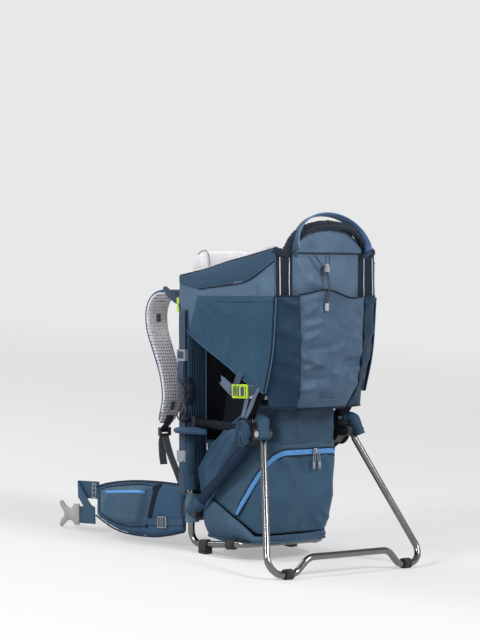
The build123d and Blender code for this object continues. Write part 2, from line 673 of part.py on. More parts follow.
with BuildPart() as zip_pull:
    rod((ZIP_X - 4, PULL_Y, PULL_Z), (ZIP_X + 4, PULL_Y, PULL_Z), 0.8)
    for arm_x in (ZIP_X - 4.5, ZIP_X + 3):
        block((arm_x, PULL_Y - 1, 232), (arm_x + 1.5, PULL_Y + 1, PULL_Z + 0.9))
    block((ZIP_X - 4.5, -15, 206), (ZIP_X + 4.5, -13, 232))
write(zip_pull, "zip_pull")

# ---- foot supports and side buckles -----------------------------------------------------------
web_low = WEB_Y - WEB_WIDTH / 2
web_high = WEB_Y + WEB_WIDTH / 2
with BuildPart() as foot_straps:
    for _, side in SIDES:
        low_x, high_x = sorted((side * WEB_X, side * (WEB_X + WEB_THICK)))
        block((low_x, web_low, 152), (high_x, web_high, 534))
write(foot_straps, "foot_straps")

with BuildPart() as foot_strap_locks:
    for _, side in SIDES:
        for height in (440.0, 229.0):
            low_x, high_x = sorted((side * (WEB_X - 3.5), side * (WEB_X + 5)))
            block((low_x, web_low - 3, height - 12), (high_x, web_high + 3, height + 12))
            low_x, high_x = sorted((side * (WEB_X - 0.4), side * (WEB_X + WEB_THICK + 0.4)))
            block((low_x, web_low - 0.6, height - 13), (high_x, web_high + 0.6, height + 13), mode=Mode.SUBTRACT)
write(foot_strap_locks, "foot_strap_locks")

STIRRUP_Z = (277.0, 291.0)
STIRRUP_OUTLINE = [(141.5, 150), (160, 146), (176, 176), (176, 214), (160, 242), (141.5, 242)]
for name, side in SIDES:
    with BuildPart() as stirrup:
        with BuildSketch(Plane.XY.offset(STIRRUP_Z[0])):
            with BuildLine():
                FilletPolyline(*[(side * x, y) for x, y in STIRRUP_OUTLINE], radius=6, close=True)
            make_face()
        extrude(amount=STIRRUP_Z[1] - STIRRUP_Z[0])
        low_x, high_x = sorted((side * (WEB_X - 0.5), side * (WEB_X + WEB_THICK + 0.5)))
        low = (low_x, web_low - 0.7, STIRRUP_Z[0] - 1)
        block(low, (high_x, web_high + 0.7, STIRRUP_Z[1] + 1), mode=Mode.SUBTRACT)
    write(stirrup, f"stirrup_{name}")

with BuildPart() as side_buckle_sockets:
    for _, side in SIDES:
        low_x, high_x = sorted((side * 141.0, side * 151.0))
        block((low_x, 40, 356), (high_x, 66, 382))
        low_x, high_x = sorted((side * 143.0, side * 149.0))
        block((low_x, 39, 359), (high_x, 60, 379), mode=Mode.SUBTRACT)
write(side_buckle_sockets, "side_buckle_sockets")

for name, side in SIDES:
    with BuildPart() as side_buckle:
        low_x, high_x = sorted((side * 141.5, side * 150.5))
        block((low_x, 18, 358), (high_x, 39.5, 380))
        low_x, high_x = sorted((side * 144.5, side * 147.5))
        for low_z in (361, 367.5, 374):
            block((low_x, 39.5, low_z), (high_x, 58, low_z + 3))
    write(side_buckle, f"side_buckle_{name}")
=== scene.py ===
from itertools import product
from math import atan2, cos, pi, radians, sin

import bmesh
import bpy
import numpy as np
from mathutils import Matrix, Vector


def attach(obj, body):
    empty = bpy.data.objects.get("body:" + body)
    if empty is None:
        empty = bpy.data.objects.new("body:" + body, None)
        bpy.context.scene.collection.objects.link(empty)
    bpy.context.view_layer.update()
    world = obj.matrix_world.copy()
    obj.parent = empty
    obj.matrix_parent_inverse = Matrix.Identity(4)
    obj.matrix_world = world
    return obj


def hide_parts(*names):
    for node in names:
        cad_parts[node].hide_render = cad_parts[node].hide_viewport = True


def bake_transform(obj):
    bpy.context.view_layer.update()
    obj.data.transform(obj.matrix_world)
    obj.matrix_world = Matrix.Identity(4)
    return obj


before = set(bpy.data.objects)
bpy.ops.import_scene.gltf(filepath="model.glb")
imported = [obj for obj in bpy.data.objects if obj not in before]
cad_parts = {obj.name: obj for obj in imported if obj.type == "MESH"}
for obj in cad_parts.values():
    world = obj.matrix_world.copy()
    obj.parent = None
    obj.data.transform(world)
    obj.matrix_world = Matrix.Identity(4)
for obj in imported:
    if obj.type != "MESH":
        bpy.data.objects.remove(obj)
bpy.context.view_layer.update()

# ---- the measures of the standing pack: shapes are drawn upright, in mm, -------------------------
LEAN = radians(5.188796)       # the standing pack leans this far forward
FOOT_Y = -122.0                # line of the kickstand feet in the upright pack
CENTRE_Y = 336.56              # middle of the standing pack, ahead of that line
MM = 0.001

# ---- placing -------------------------------------------------------------------------------------
def row(points):
    """Upright pack millimetres to the standing pack's metres."""
    p = np.array(points, dtype=float).reshape(-1, 3)
    y = p[:, 1] - FOOT_Y
    z = p[:, 2]
    out = np.empty_like(p)
    out[:, 0] = p[:, 0]
    out[:, 1] = y * cos(LEAN) + z * sin(LEAN) - CENTRE_Y
    out[:, 2] = z * cos(LEAN) - y * sin(LEAN)
    return out * MM


def aim(direction):
    """An upright pack direction in the standing pack's frame."""
    x, y, z = direction
    return Vector((x, y * cos(LEAN) + z * sin(LEAN), z * cos(LEAN) - y * sin(LEAN))).normalized()


# ---- numbers that repeat: value noise, smooth curves ---------------------------------------------
def noise(p, size, seed=0):
    """Smooth value noise between -1 and 1 at points p, with lumps about size across."""
    q = np.asarray(p, dtype=float) / size + 31.7 * (seed + 1)
    cell = np.floor(q).astype(np.int64)
    f = q - cell
    f = f * f * (3 - 2 * f)
    total = np.zeros(len(q))
    for corner in range(8):
        bits = [(corner >> k) & 1 for k in range(3)]
        c = cell + np.array(bits)
        h = (c[:, 0] * 73856093) ^ (c[:, 1] * 19349663) ^ (c[:, 2] * 83492791) ^ (seed * 2654435761)
        h = (h ^ (h >> 13)) * 1274126177
        value = ((h ^ (h >> 16)) & 0xFFFF) / 32767.5 - 1.0
        weight = np.ones(len(q))
        for k in range(3):
            weight *= f[:, k] if bits[k] else 1 - f[:, k]
        total += value * weight
    return total


def smooth_path(points, per=8, closed=False):
    """A Catmull-Rom curve through the points, per samples to each span."""
    p = np.array(points, dtype=float)
    n = len(p)
    spans = n if closed else n - 1
    out = []
    for i in range(spans):
        if closed:
            a, b, c, d = p[(i - 1) % n], p[i], p[(i + 1) % n], p[(i + 2) % n]
        else:
            b, c = p[i], p[i + 1]
            a = p[i - 1] if i > 0 else 2 * b - c
            d = p[i + 2] if i + 2 < n else 2 * c - b
        for t in np.arange(per) / per:
            out.append(0.5 * (2 * b + (c - a) * t + (2 * a - 5 * b + 4 * c - d) * t * t
                              + (3 * b - a - 3 * c + d) * t ** 3))
    if not closed:
        out.append(p[-1])
    return np.array(out)


def at_steps(path, count):
    """The same path as count points, evenly spaced."""
    path = np.asarray(path, dtype=float)
    run = np.concatenate([[0], np.cumsum(np.linalg.norm(np.diff(path, axis=0), axis=1))])
    at = np.linspace(0, run[-1], count)
    return np.stack([np.interp(at, run, path[:, k]) for k in range(3)], axis=1)


def resample(path, step):
    """The same path with points evenly step apart."""
    length = np.sum(np.linalg.norm(np.diff(np.asarray(path, dtype=float), axis=0), axis=1))
    return at_steps(path, max(2, int(round(length / step)) + 1))


def unit(v):
    v = np.asarray(v, dtype=float)
    return v / np.maximum(np.linalg.norm(v, axis=-1, keepdims=True), 1e-9)


def ease(x, low, high):
    """0 below low, 1 above high, smooth between."""
    t = np.clip((np.asarray(x, dtype=float) - low) / (high - low), 0, 1)
    return t * t * (3 - 2 * t)


def fold(p, line_a, line_b, width, height):
    """A ridge of given width and height along the segment from a to b, fading at its ends."""
    a = np.array(line_a, dtype=float)
    b = np.array(line_b, dtype=float)
    p = np.asarray(p, dtype=float)[:, :len(a)]
    run = b - a
    t = np.clip(((p - a) @ run) / (run @ run), -0.2, 1.2)
    away = np.linalg.norm(p - (a + np.outer(t, run)), axis=1)
    fade = np.clip(np.minimum(t + 0.05, 1.05 - t) * 4, 0, 1)
    return height * fade * np.exp(-((away / width) ** 2))


# ---- mesh makers, all in upright pack millimetres ------------------------------------------------
def piece(name, verts, faces, body, look, slot=None, smooth=True):
    """A mesh object from upright millimetre points, riding on a body, with a look; the slot is not used."""
    mesh = bpy.data.meshes.new(name)
    mesh.from_pydata([tuple(v) for v in row(verts)], [], [tuple(int(i) for i in f) for f in faces])
    mesh.validate()
    obj = bpy.data.objects.new(name, mesh)
    bpy.context.scene.collection.objects.link(obj)
    mesh.materials.append(M[look])
    if smooth:
        mesh.shade_smooth()
    bm = bmesh.new()
    bm.from_mesh(mesh)
    bmesh.ops.recalc_face_normals(bm, faces=bm.faces)
    bm.to_mesh(mesh)
    bm.free()
    if body:
        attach(obj, body)
    slot or USUAL_SLOT[look]
    return obj


def grid_faces(rows, cols, wrap_cols=False):
    """Quads over a grid of points laid out row by row."""
    faces = []
    for i in range(rows - 1):
        for j in range(cols if wrap_cols else cols - 1):
            a = i * cols + j
            b = i * cols + (j + 1) % cols
            c = (i + 1) * cols + (j + 1) % cols
            d = (i + 1) * cols + j
            faces.append((a, b, c, d))
    return faces


def grid_normals(grid):
    """Normals of a grid of points, shape (rows, cols, 3)."""
    du = np.gradient(grid, axis=0)
    dv = np.gradient(grid, axis=1)
    return unit(np.cross(dv, du))


def sheet_mesh(grid, thick, flip=False):
    """Closed mesh of a sheet with thickness: the grid is its outer face, rounded at its edges."""
    rows, cols = grid.shape[:2]
    normal = grid_normals(grid) * (-1 if flip else 1)
    front = grid.reshape(-1, 3)
    back = (grid - normal * thick).reshape(-1, 3)
    verts = np.concatenate([front, back])
    n = rows * cols
    faces = grid_faces(rows, cols)
    faces += [(a + n, d + n, c + n, b + n) for a, b, c, d in grid_faces(rows, cols)]
    ring = list(range(cols))
    ring += [i * cols + cols - 1 for i in range(1, rows)]
    ring += [(rows - 1) * cols + j for j in range(cols - 2, -1, -1)]
    ring += [i * cols for i in range(rows - 2, 0, -1)]
    middle = (front[ring] + back[ring]) / 2
    out = []
    for k, i in enumerate(ring):
        r, c = divmod(i, cols)
        inner = grid[min(max(r, 1), rows - 2), min(max(c, 1), cols - 2)]
        out.append(unit(grid[r, c] - inner) * thick * 0.42)
    rim = middle + np.array(out)
    base = len(verts)
    verts = np.concatenate([verts, rim])
    m = len(ring)
    for k in range(m):
        a, b = ring[k], ring[(k + 1) % m]
        ra, rb = base + k, base + (k + 1) % m
        faces.append((b, a, ra, rb))
        faces.append((rb, ra, a + n, b + n))
    return verts, faces


def frames_along(path, side):
    """Tangent, side and face directions along a path; side is one vector or one to each point."""
    path = np.asarray(path, dtype=float)
    tangent = unit(np.gradient(path, axis=0))
    side = np.broadcast_to(np.asarray(side, dtype=float), path.shape)
    side = unit(side - np.sum(side * tangent, axis=1, keepdims=True) * tangent)
    face = unit(np.cross(tangent, side))
    return tangent, side, face


def swept(path, side, outline, scale=None):
    """Sweep a closed outline (side, face) along a path and cap its ends."""
    path = np.asarray(path, dtype=float)
    _, s, f = frames_along(path, side)
    outline = np.asarray(outline, dtype=float)
    n, m = len(path), len(outline)
    k = np.ones((n, 2)) if scale is None else np.asarray(scale, dtype=float).reshape(n, -1)
    if k.shape[1] == 1:
        k = np.repeat(k, 2, axis=1)
    verts = (path[:, None, :] + s[:, None, :] * (outline[None, :, 0] * k[:, None, 0])[..., None]
             + f[:, None, :] * (outline[None, :, 1] * k[:, None, 1])[..., None]).reshape(-1, 3)
    faces = grid_faces(n, m, wrap_cols=True)
    verts = np.concatenate([verts, path[:1], path[-1:]])
    for j in range(m):
        faces.append((n * m, j, (j + 1) % m))
        faces.append((n * m + 1, (n - 1) * m + (j + 1) % m, (n - 1) * m + j))
    return verts, faces


def round_outline(radius, count=10):
    a = np.arange(count) / count * 2 * pi
    return np.stack([np.cos(a) * radius, np.sin(a) * radius], axis=1)


def flat_outline(width, thick, across=8):
    """A strap's section: flat faces, rounded and slightly thicker selvedges."""
    w, t = width / 2, thick / 2
    xs = np.linspace(-w + t, w - t, across)
    top = [(x, t) for x in xs]
    right = [(w - t + t * cos(a), t * sin(a)) for a in (pi / 3, 0, -pi / 3)]
    bottom = [(x, -t) for x in xs[::-1]]
    left = [(-w + t - t * cos(a), t * sin(a)) for a in (-pi / 3, 0, pi / 3)]
    return np.array(top + right + bottom + left)


def join(parts):
    """Several (verts, faces) as one."""
    verts, faces, start = [], [], 0
    for v, f in parts:
        verts.append(np.asarray(v, dtype=float))
        faces += [tuple(i + start for i in face) for face in f]
        start += len(v)
    return np.concatenate(verts), faces


def stitches(path, out, length=2.6, gap=1.4, radius=0.32):
    """A row of thread stitches along a path, lifted by out: small capsules as (verts, faces)."""
    path = resample(path, 0.5)
    lifts = np.broadcast_to(np.asarray(out, dtype=float), path.shape)
    per = int(round((length + gap) / 0.5))
    use = int(round(length / 0.5))
    parts = []
    for i in range(0, len(path) - use, per):
        a, b = path[i] + lifts[i], path[i + use] + lifts[min(i + use, len(lifts) - 1)]
        if np.linalg.norm(b - a) < 0.2:
            continue
        along = unit(b - a)
        side = unit(np.cross(along, unit(lifts[i]) + 1e-6))
        up = np.cross(side, along)
        ring = []
        for t, r in ((0.0, 0.45), (0.25, 1.0), (0.75, 1.0), (1.0, 0.45)):
            c = a + (b - a) * t
            for k in range(4):
                ang = k * pi / 2 + pi / 4
                ring.append(c + (side * cos(ang) + up * sin(ang)) * radius * r)
        faces = grid_faces(4, 4, wrap_cols=True) + [(0, 1, 2, 3), (15, 14, 13, 12)]
        parts.append((np.array(ring), faces))
    return join(parts)


def bar(low, high, bevel):
    """A bevelled box between two corners, as (verts, faces)."""
    verts = []
    for corner in product((0, 1), repeat=3):
        at = np.where(corner, high, low).astype(float)
        for axis in range(3):
            v = at + np.where(corner, -bevel, bevel)
            v[axis] = at[axis]
            verts.append(v)

    def point(face, axis, side, p, q):
        """The point of the corner at side on an axis and p, q on the other two, on a face's side."""
        key = [p, q]
        key.insert(axis, side)
        return (key[0] * 4 + key[1] * 2 + key[2]) * 3 + face

    faces = []
    for axis, side in product(range(3), (0, 1)):
        faces.append(tuple(point(axis, axis, side, p, q) for p, q in ((0, 0), (1, 0), (1, 1), (0, 1))))
    for axis, p, q in product(range(3), (0, 1), (0, 1)):
        a, b = (other for other in range(3) if other != axis)
        faces.append((point(a, axis, 0, p, q), point(a, axis, 1, p, q), point(b, axis, 1, p, q),
                      point(b, axis, 0, p, q)))
    faces += [(3 * k, 3 * k + 1, 3 * k + 2) for k in range(8)]
    return np.array(verts), faces


# ---- materials -----------------------------------------------------------------------------------
WAVE_SCALE = 0.314159      # wave texture scale times period, in metres


class Nodes:
    """Short names for building one material's nodes."""

    def __init__(self, name, roughness, metallic=0.0, sheen=0.0, specular=0.5):
        self.mat = bpy.data.materials.new(name)
        self.mat.use_nodes = True
        self.tree = self.mat.node_tree
        self.shader = self.tree.nodes["Principled BSDF"]
        self.shader.inputs["Roughness"].default_value = roughness
        self.shader.inputs["Metallic"].default_value = metallic
        self.shader.inputs["Specular IOR Level"].default_value = specular
        if sheen:
            self.shader.inputs["Sheen Weight"].default_value = sheen
            self.shader.inputs["Sheen Roughness"].default_value = 0.45
        coord = self.tree.nodes.new("ShaderNodeTexCoord")
        turn = self.tree.nodes.new("ShaderNodeMapping")
        turn.vector_type = "TEXTURE"
        turn.inputs["Rotation"].default_value = (-LEAN, 0, 0)
        self.link(coord.outputs["Object"], turn.inputs["Vector"])
        self.place = turn.outputs["Vector"]

    def link(self, a, b):
        self.tree.links.new(a, b)

    def node(self, kind, inputs, out=0, **settings):
        """A new node; its inputs, by name or place, are values or other nodes' outputs."""
        node = self.tree.nodes.new("ShaderNode" + kind)
        for name, value in settings.items():
            setattr(node, name, value)
        for name, value in inputs.items():
            if isinstance(value, bpy.types.NodeSocket):
                self.link(value, node.inputs[name])
            else:
                node.inputs[name].default_value = value
        return node.outputs[out]

    def math(self, kind, a, b):
        return self.node("Math", {0: a, 1: b}, operation=kind)

    def scaled(self, stretch):
        return self.node("Mapping", {"Scale": stretch, "Vector": self.place}, "Vector")

    def noise(self, scale, detail=2.0, rough=0.5, stretch=None):
        return self.node("TexNoise", {"Scale": scale, "Detail": detail, "Roughness": rough,
                                      "Vector": self.scaled(stretch) if stretch else self.place}, "Fac")

    def wave(self, axis, period):
        """Lines across an axis, period in metres, from 0 to 1."""
        return self.node("TexWave", {"Scale": WAVE_SCALE / period, "Vector": self.place}, "Fac",
                         bands_direction=axis)

    def voronoi(self, scale, stretch):
        return self.node("TexVoronoi", {"Scale": scale, "Randomness": 0.15, "Vector": self.scaled(stretch)},
                         "Distance")

    def ramp(self, fac, *stops):
        node = self.tree.nodes.new("ShaderNodeValToRGB")
        ramp = node.color_ramp
        while len(ramp.elements) < len(stops):
            ramp.elements.new(0.5)
        for element, (at, color) in zip(ramp.elements, stops):
            element.position = at
            element.color = (*color, 1)
        self.link(fac, node.inputs["Fac"])
        return node.outputs["Color"]

    def mix(self, kind, fac, a, b):
        a, b = ((*value, 1) if isinstance(value, tuple) else value for value in (a, b))
        return self.node("Mix", {"Factor": fac, 6: a, 7: b}, 2, data_type="RGBA", blend_type=kind)

    def base(self, color):
        self.link(color, self.shader.inputs["Base Color"])

    def rough(self, fac, low, high):
        out = self.node("MapRange", {"Value": fac, "To Min": low, "To Max": high}, "Result")
        self.link(out, self.shader.inputs["Roughness"])

    def bump(self, height, distance, strength):
        out = self.node("Bump", {"Distance": distance, "Strength": strength, "Height": height}, "Normal")
        self.link(out, self.shader.inputs["Normal"])


def tint(color, k):
    return tuple(min(1.0, c * k) for c in color)


def cloth(name, color, rib="Z", rib_gap=0.0036, rib_depth=0.00025, roughness=0.62, sheen=0.06, light=1.5,
          lines_seen=0.45):
    """Coated nylon: fine plain weave, ribs along one axis, soft blotches and faint wear."""
    m = Nodes(name, roughness, sheen=sheen, specular=0.16)
    m.shader.inputs["Sheen Tint"].default_value = (*tint(color, 3.0), 1)
    blotch = m.noise(14, 3)
    weave = m.noise(1600, 1)
    ribs = m.wave(rib, rib_gap)
    tone = m.ramp(blotch, (0.3, tint(color, 0.82)), (0.7, tint(color, 1.16)))
    lines = m.ramp(ribs, (0.0, tint(color, 0.7)), (0.35, color), (1.0, tint(color, light)))
    base = m.mix("MIX", lines_seen, tone, lines)
    base = m.mix("MULTIPLY", 0.35, base, m.ramp(weave, (0.25, (0.72, 0.72, 0.72)), (0.75, (1, 1, 1))))
    m.base(base)
    m.rough(blotch, roughness - 0.08, roughness + 0.08)
    height = m.math("ADD", m.math("MULTIPLY", ribs, 1.0), m.math("MULTIPLY", weave, 0.35))
    m.bump(height, rib_depth, 0.8)
    return m.mat


def ripstop(name, color, cell=0.0052, specular=0.2):
    """Ripstop nylon: a fine weave with thicker threads that cross in small squares."""
    m = Nodes(name, 0.5, sheen=0.05, specular=specular)
    m.shader.inputs["Sheen Tint"].default_value = (*tint(color, 3.0), 1)
    blotch = m.noise(11, 3)
    weave = m.noise(1800, 1)
    rows = m.math("POWER", m.wave("Z", cell), 6.0)
    cols = m.math("MAXIMUM", m.math("POWER", m.wave("X", cell), 8.0),
                  m.math("POWER", m.wave("Y", cell), 8.0))
    grid = m.math("MAXIMUM", rows, m.math("MULTIPLY", cols, 0.45))
    tone = m.ramp(blotch, (0.3, tint(color, 0.84)), (0.7, tint(color, 1.14)))
    base = m.mix("MIX", m.math("MULTIPLY", grid, 0.5), tone, tint(color, 0.6))
    base = m.mix("MULTIPLY", 0.3, base, m.ramp(weave, (0.25, (0.75, 0.75, 0.75)), (0.75, (1, 1, 1))))
    m.base(base)
    m.rough(blotch, 0.42, 0.58)
    m.bump(m.math("ADD", m.math("MULTIPLY", grid, -1.0), m.math("MULTIPLY", weave, 0.3)), 0.0003, 0.8)
    return m.mat


def webbing(name, color, axis="Z", gap=0.0017):
    """Woven webbing: close herringbone ribs and a slightly hairy surface."""
    m = Nodes(name, 0.7, sheen=0.08, specular=0.25)
    ribs = m.wave(axis, gap)
    cross = m.wave("DIAGONAL", gap * 0.8)
    fuzz = m.noise(900, 2)
    weave = m.math("MULTIPLY", ribs, cross)
    m.base(m.mix("MIX", 0.5, m.ramp(weave, (0.0, tint(color, 0.55)), (0.6, tint(color, 1.5))),
                 m.ramp(fuzz, (0.3, tint(color, 0.8)), (0.7, tint(color, 1.25)))))
    m.rough(fuzz, 0.6, 0.8)
    m.bump(m.math("ADD", weave, m.math("MULTIPLY", fuzz, 0.3)), 0.0004, 0.9)
    return m.mat


def spacer_mesh(name, color, hole, cell=0.0034):
    """Knitted 3-D mesh: rows of small open holes in a soft pale or dark knit."""
    m = Nodes(name, 0.8, sheen=0.15, specular=0.25)
    dots = m.voronoi(1 / cell, stretch=(1, 0.06, 1))
    blotch = m.noise(18, 2)
    knit = m.ramp(dots, (0.24, hole), (0.4, color))
    m.base(m.mix("MULTIPLY", 0.5, knit, m.ramp(blotch, (0.3, (0.82, 0.82, 0.82)), (0.7, (1, 1, 1)))))
    m.rough(blotch, 0.72, 0.88)
    m.bump(m.math("MINIMUM", dots, 0.4), 0.0012, 0.9)
    return m.mat


def fleece_cloth(name, color):
    """Short-pile fleece: fine tufts and soft patches where the pile lies differently."""
    m = Nodes(name, 0.95, sheen=0.8, specular=0.15)
    tufts = m.noise(520, 4, 0.65)
    patch = m.noise(40, 3)
    m.base(m.mix("MULTIPLY", 0.5, m.ramp(patch, (0.3, tint(color, 0.9)), (0.7, color)),
                 m.ramp(tufts, (0.3, (0.72, 0.72, 0.74)), (0.7, (1, 1, 1)))))
    m.bump(tufts, 0.0016, 0.9)
    return m.mat


def moulded(name, color, roughness=0.42):
    """Moulded nylon or acetal: fine spark-eroded grain, paler worn patches, faint scuffs."""
    m = Nodes(name, roughness, specular=0.5)
    pits = m.noise(2600, 2)
    wear = m.noise(60, 4, 0.6)
    m.base(m.ramp(wear, (0.35, tint(color, 0.88)), (0.62, color),
                  (0.8, tuple(c * 0.8 + 0.06 for c in color))))
    m.rough(wear, roughness - 0.08, roughness + 0.12)
    m.bump(pits, 0.00008, 0.7)
    return m.mat


def anodised(name, color):
    """Drawn and satin anodised tube: lengthwise draw lines, soft smudges."""
    m = Nodes(name, 0.2, metallic=1.0)
    smudge = m.noise(30, 4, 0.6)
    lines = m.noise(240, 3, 0.6, stretch=(4, 4, 0.25))
    m.base(m.ramp(smudge, (0.3, tint(color, 0.86)), (0.7, color)))
    m.rough(m.math("ADD", m.math("MULTIPLY", smudge, 0.6), m.math("MULTIPLY", lines, 0.4)), 0.1, 0.28)
    m.bump(lines, 0.00004, 0.5)
    return m.mat


def rubber(name, color):
    m = Nodes(name, 0.78, specular=0.3)
    dust = m.noise(90, 4, 0.65)
    grain = m.noise(1500, 2)
    m.base(m.ramp(dust, (0.4, color), (0.75, tuple(c + 0.035 for c in color))))
    m.rough(dust, 0.66, 0.9)
    m.bump(grain, 0.00012, 0.8)
    return m.mat


def braid(name, color, fleck):
    """Braided cord: fine crossing strands with pale flecks."""
    m = Nodes(name, 0.75, sheen=0.3, specular=0.3)
    strands = m.math("MULTIPLY", m.wave("DIAGONAL", 0.0011), m.wave("Z", 0.0013))
    m.base(m.ramp(strands, (0.2, color), (0.8, fleck)))
    m.bump(strands, 0.0003, 0.9)
    return m.mat


SLATE = (0.066, 0.112, 0.172)
DENIM = (0.021, 0.058, 0.102)
NAVY = (0.008, 0.021, 0.045)
INK = (0.006, 0.011, 0.022)

M = {
    "slate": cloth("slate_nylon", SLATE, roughness=0.45, sheen=0.08, lines_seen=0.15),
    "slate_ripstop": ripstop("slate_ripstop", (0.038, 0.08, 0.13)),
    "denim": cloth("denim_stretch", DENIM, rib_gap=0.0028, rib_depth=0.0003, roughness=0.7, sheen=0.05,
                   light=1.4, lines_seen=0.3),
    "navy": ripstop("navy_ripstop", (0.014, 0.034, 0.064), specular=0.08),
    "navy_cloth": cloth("navy_nylon", NAVY, roughness=0.66),
    "ink": cloth("ink_nylon", INK, roughness=0.6),
    "piping": cloth("blue_piping", (0.04, 0.09, 0.16), rib_gap=0.001, rib_depth=0.0001, roughness=0.5),
    "zip_tape": webbing("zip_tape", (0.07, 0.23, 0.48), gap=0.0012),
    "zip_teeth": moulded("zip_teeth", (0.12, 0.36, 0.74), 0.35),
    "black_web": webbing("black_webbing", (0.02, 0.022, 0.028)),
    "grey_web": webbing("grey_webbing", (0.085, 0.095, 0.115)),
    "belt_web": webbing("belt_webbing", (0.035, 0.075, 0.125), axis="Z"),
    "handle_web": webbing("handle_webbing", (0.035, 0.07, 0.12), axis="Y"),
    "handle_lining": cloth("handle_lining", (0.1, 0.18, 0.36), rib="Y", rib_gap=0.0016, roughness=0.45),
    "black_mesh": spacer_mesh("black_mesh", (0.04, 0.045, 0.055), (0.006, 0.007, 0.01)),
    "pale_mesh": spacer_mesh("pale_mesh", (0.68, 0.675, 0.71), (0.14, 0.14, 0.17), 0.0066),
    "fleece": fleece_cloth("fleece", (0.66, 0.66, 0.675)),
    "fleece_grey": fleece_cloth("collar_fleece", (0.52, 0.52, 0.555)),
    # Near-black cloth without sheen: the inner pieces' dark nylon deepened into painted shade, so the
    # interior reads black.
    "void": cloth("inner_nylon_painted_shade", (0.006, 0.008, 0.013), roughness=0.8, sheen=0.0),
    "stirrup": cloth("stirrup_nylon", (0.03, 0.065, 0.125), rib_gap=0.0016, roughness=0.6),
    "denim_deep": ripstop("denim_ripstop", (0.03, 0.075, 0.14)),
    "black": moulded("black_nylon", (0.018, 0.019, 0.022)),
    "lime": moulded("lime_acetal", (0.42, 0.6, 0.02), 0.36),
    "silver": moulded("silver_acetal", (0.22, 0.24, 0.27), 0.34),
    "grey": moulded("grey_acetal", (0.3, 0.3, 0.31), 0.38),
    "white": moulded("white_acetal", (0.3, 0.31, 0.33), 0.3),
    "tube": anodised("anodised_tube", (0.2, 0.205, 0.21)),
    "steel": anodised("steel", (0.5, 0.5, 0.52)),
    "rubber": rubber("rubber", (0.016, 0.016, 0.017)),
    "slate_stretch": cloth("slate_stretch", (0.046, 0.082, 0.134), rib_gap=0.0026, roughness=0.45,
                           sheen=0.08, lines_seen=0.15),
    "strip": cloth("ribbed_strip", (0.065, 0.115, 0.18), rib="Y", rib_gap=0.0042, rib_depth=0.0004,
                   roughness=0.5),
    "lining": cloth("lining", (0.03, 0.036, 0.05), rib_gap=0.002, roughness=0.75),
    "gather": spacer_mesh("gathered_mesh", (0.006, 0.013, 0.026), (0.002, 0.004, 0.007), 0.0022),
    "pale_blue": cloth("pale_blue_piping", (0.09, 0.16, 0.27), rib_gap=0.001, rib_depth=0.0001,
                       roughness=0.5),
    "flap_ripstop": ripstop("flap_ripstop", (0.028, 0.07, 0.12)),
    "pocket_ripstop": ripstop("pocket_ripstop", (0.05, 0.1, 0.155)),
    "denim_plain": cloth("denim_plain", (0.024, 0.056, 0.098), rib_gap=0.0016, roughness=0.6),
    "neck": cloth("neck_nylon", (0.024, 0.05, 0.084), roughness=0.55),
    "sleeve": cloth("sleeve_nylon", (0.014, 0.034, 0.064), rib="X", rib_gap=0.006, rib_depth=0.0012,
                    roughness=0.6),
    "strap_blue": webbing("blue_webbing", (0.032, 0.052, 0.09)),
    "strap_dark": webbing("dark_webbing", (0.02, 0.035, 0.065), axis="Y"),
    "strap_pale": webbing("pale_webbing", (0.09, 0.12, 0.18)),
    "fleece_dark": fleece_cloth("grey_fleece", (0.2, 0.21, 0.24)),
    "pale_cord": moulded("pale_piping", (0.5, 0.53, 0.58), 0.5),
    "cord": braid("cord", (0.015, 0.017, 0.022), (0.07, 0.075, 0.09)),
    "thread": moulded("thread", (0.16, 0.22, 0.33), 0.6),
}

USUAL_SLOT = {look: slot for slot, looks in {
    "slate_fabric": ("slate", "strip", "denim_plain", "piping", "thread", "slate_ripstop", "flap_ripstop",
                     "stirrup", "pocket_ripstop",),
    "navy_fabric": ("lining", "ink", "navy", "navy_cloth", "neck", "void", "sleeve", "denim_deep",),
    "denim_fabric": ("denim", "slate_stretch", "handle_lining",),
    "back_mesh": ("gather", "black_mesh",),
    "black_webbing": ("handle_web", "strap_blue", "black_web", "strap_dark",),
    "silver_plastic": ("silver",),
    "cord": ("cord",),
    "grey_webbing": ("strap_pale", "grey_web", "pale_cord",),
    "blue_zipper": ("zip_tape", "zip_teeth",),
    "belt_webbing": ("belt_web",),
    "grey_plastic": ("grey",),
    "strap_mesh": ("pale_mesh",),
    "fleece": ("fleece", "fleece_grey", "fleece_dark",),
    "lime_plastic": ("lime",),
}.items() for look in looks}

CAD_LOOK = {
    "tube": ("back_frame", "rear_hoop", "side_struts", "crossbars", "kickstand"),
    "steel": ("hinge_pins", "zip_slider"),
    "rubber": ("base_feet", "kickstand_feet"),
    "black": ("frame_clamps", "hinge_housings", "kickstand_knuckles", "back_track", "yoke",
              "sternum_buckle_male",
              "sternum_buckle_female", "strap_locks"),
    "lime": ("load_lifter_hooks", "side_buckle_sockets", "side_buckle_left", "side_buckle_right"),
    "silver": ("foot_strap_locks", "cord_lock"),
    "grey": ("belt_buckle_female", "harness_buckle", "cord_lock_button"),
    "white": ("drawcord_pull", "zip_pull"),
    "cord": ("drawcord",),
}
for look, nodes in CAD_LOOK.items():
    for node in nodes:
        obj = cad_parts[node]
        obj.data.materials.clear()
        obj.data.materials.append(M[look])


# ---- surfaces between edges ----------------------------------------------------------------------
SIDES = (("left", 1.0), ("right", -1.0))     # what is drawn on the left is mirrored to the right


def flat(x, points):
    """(y, z) points on the plane at x."""
    return [(x, y, z) for y, z in points]


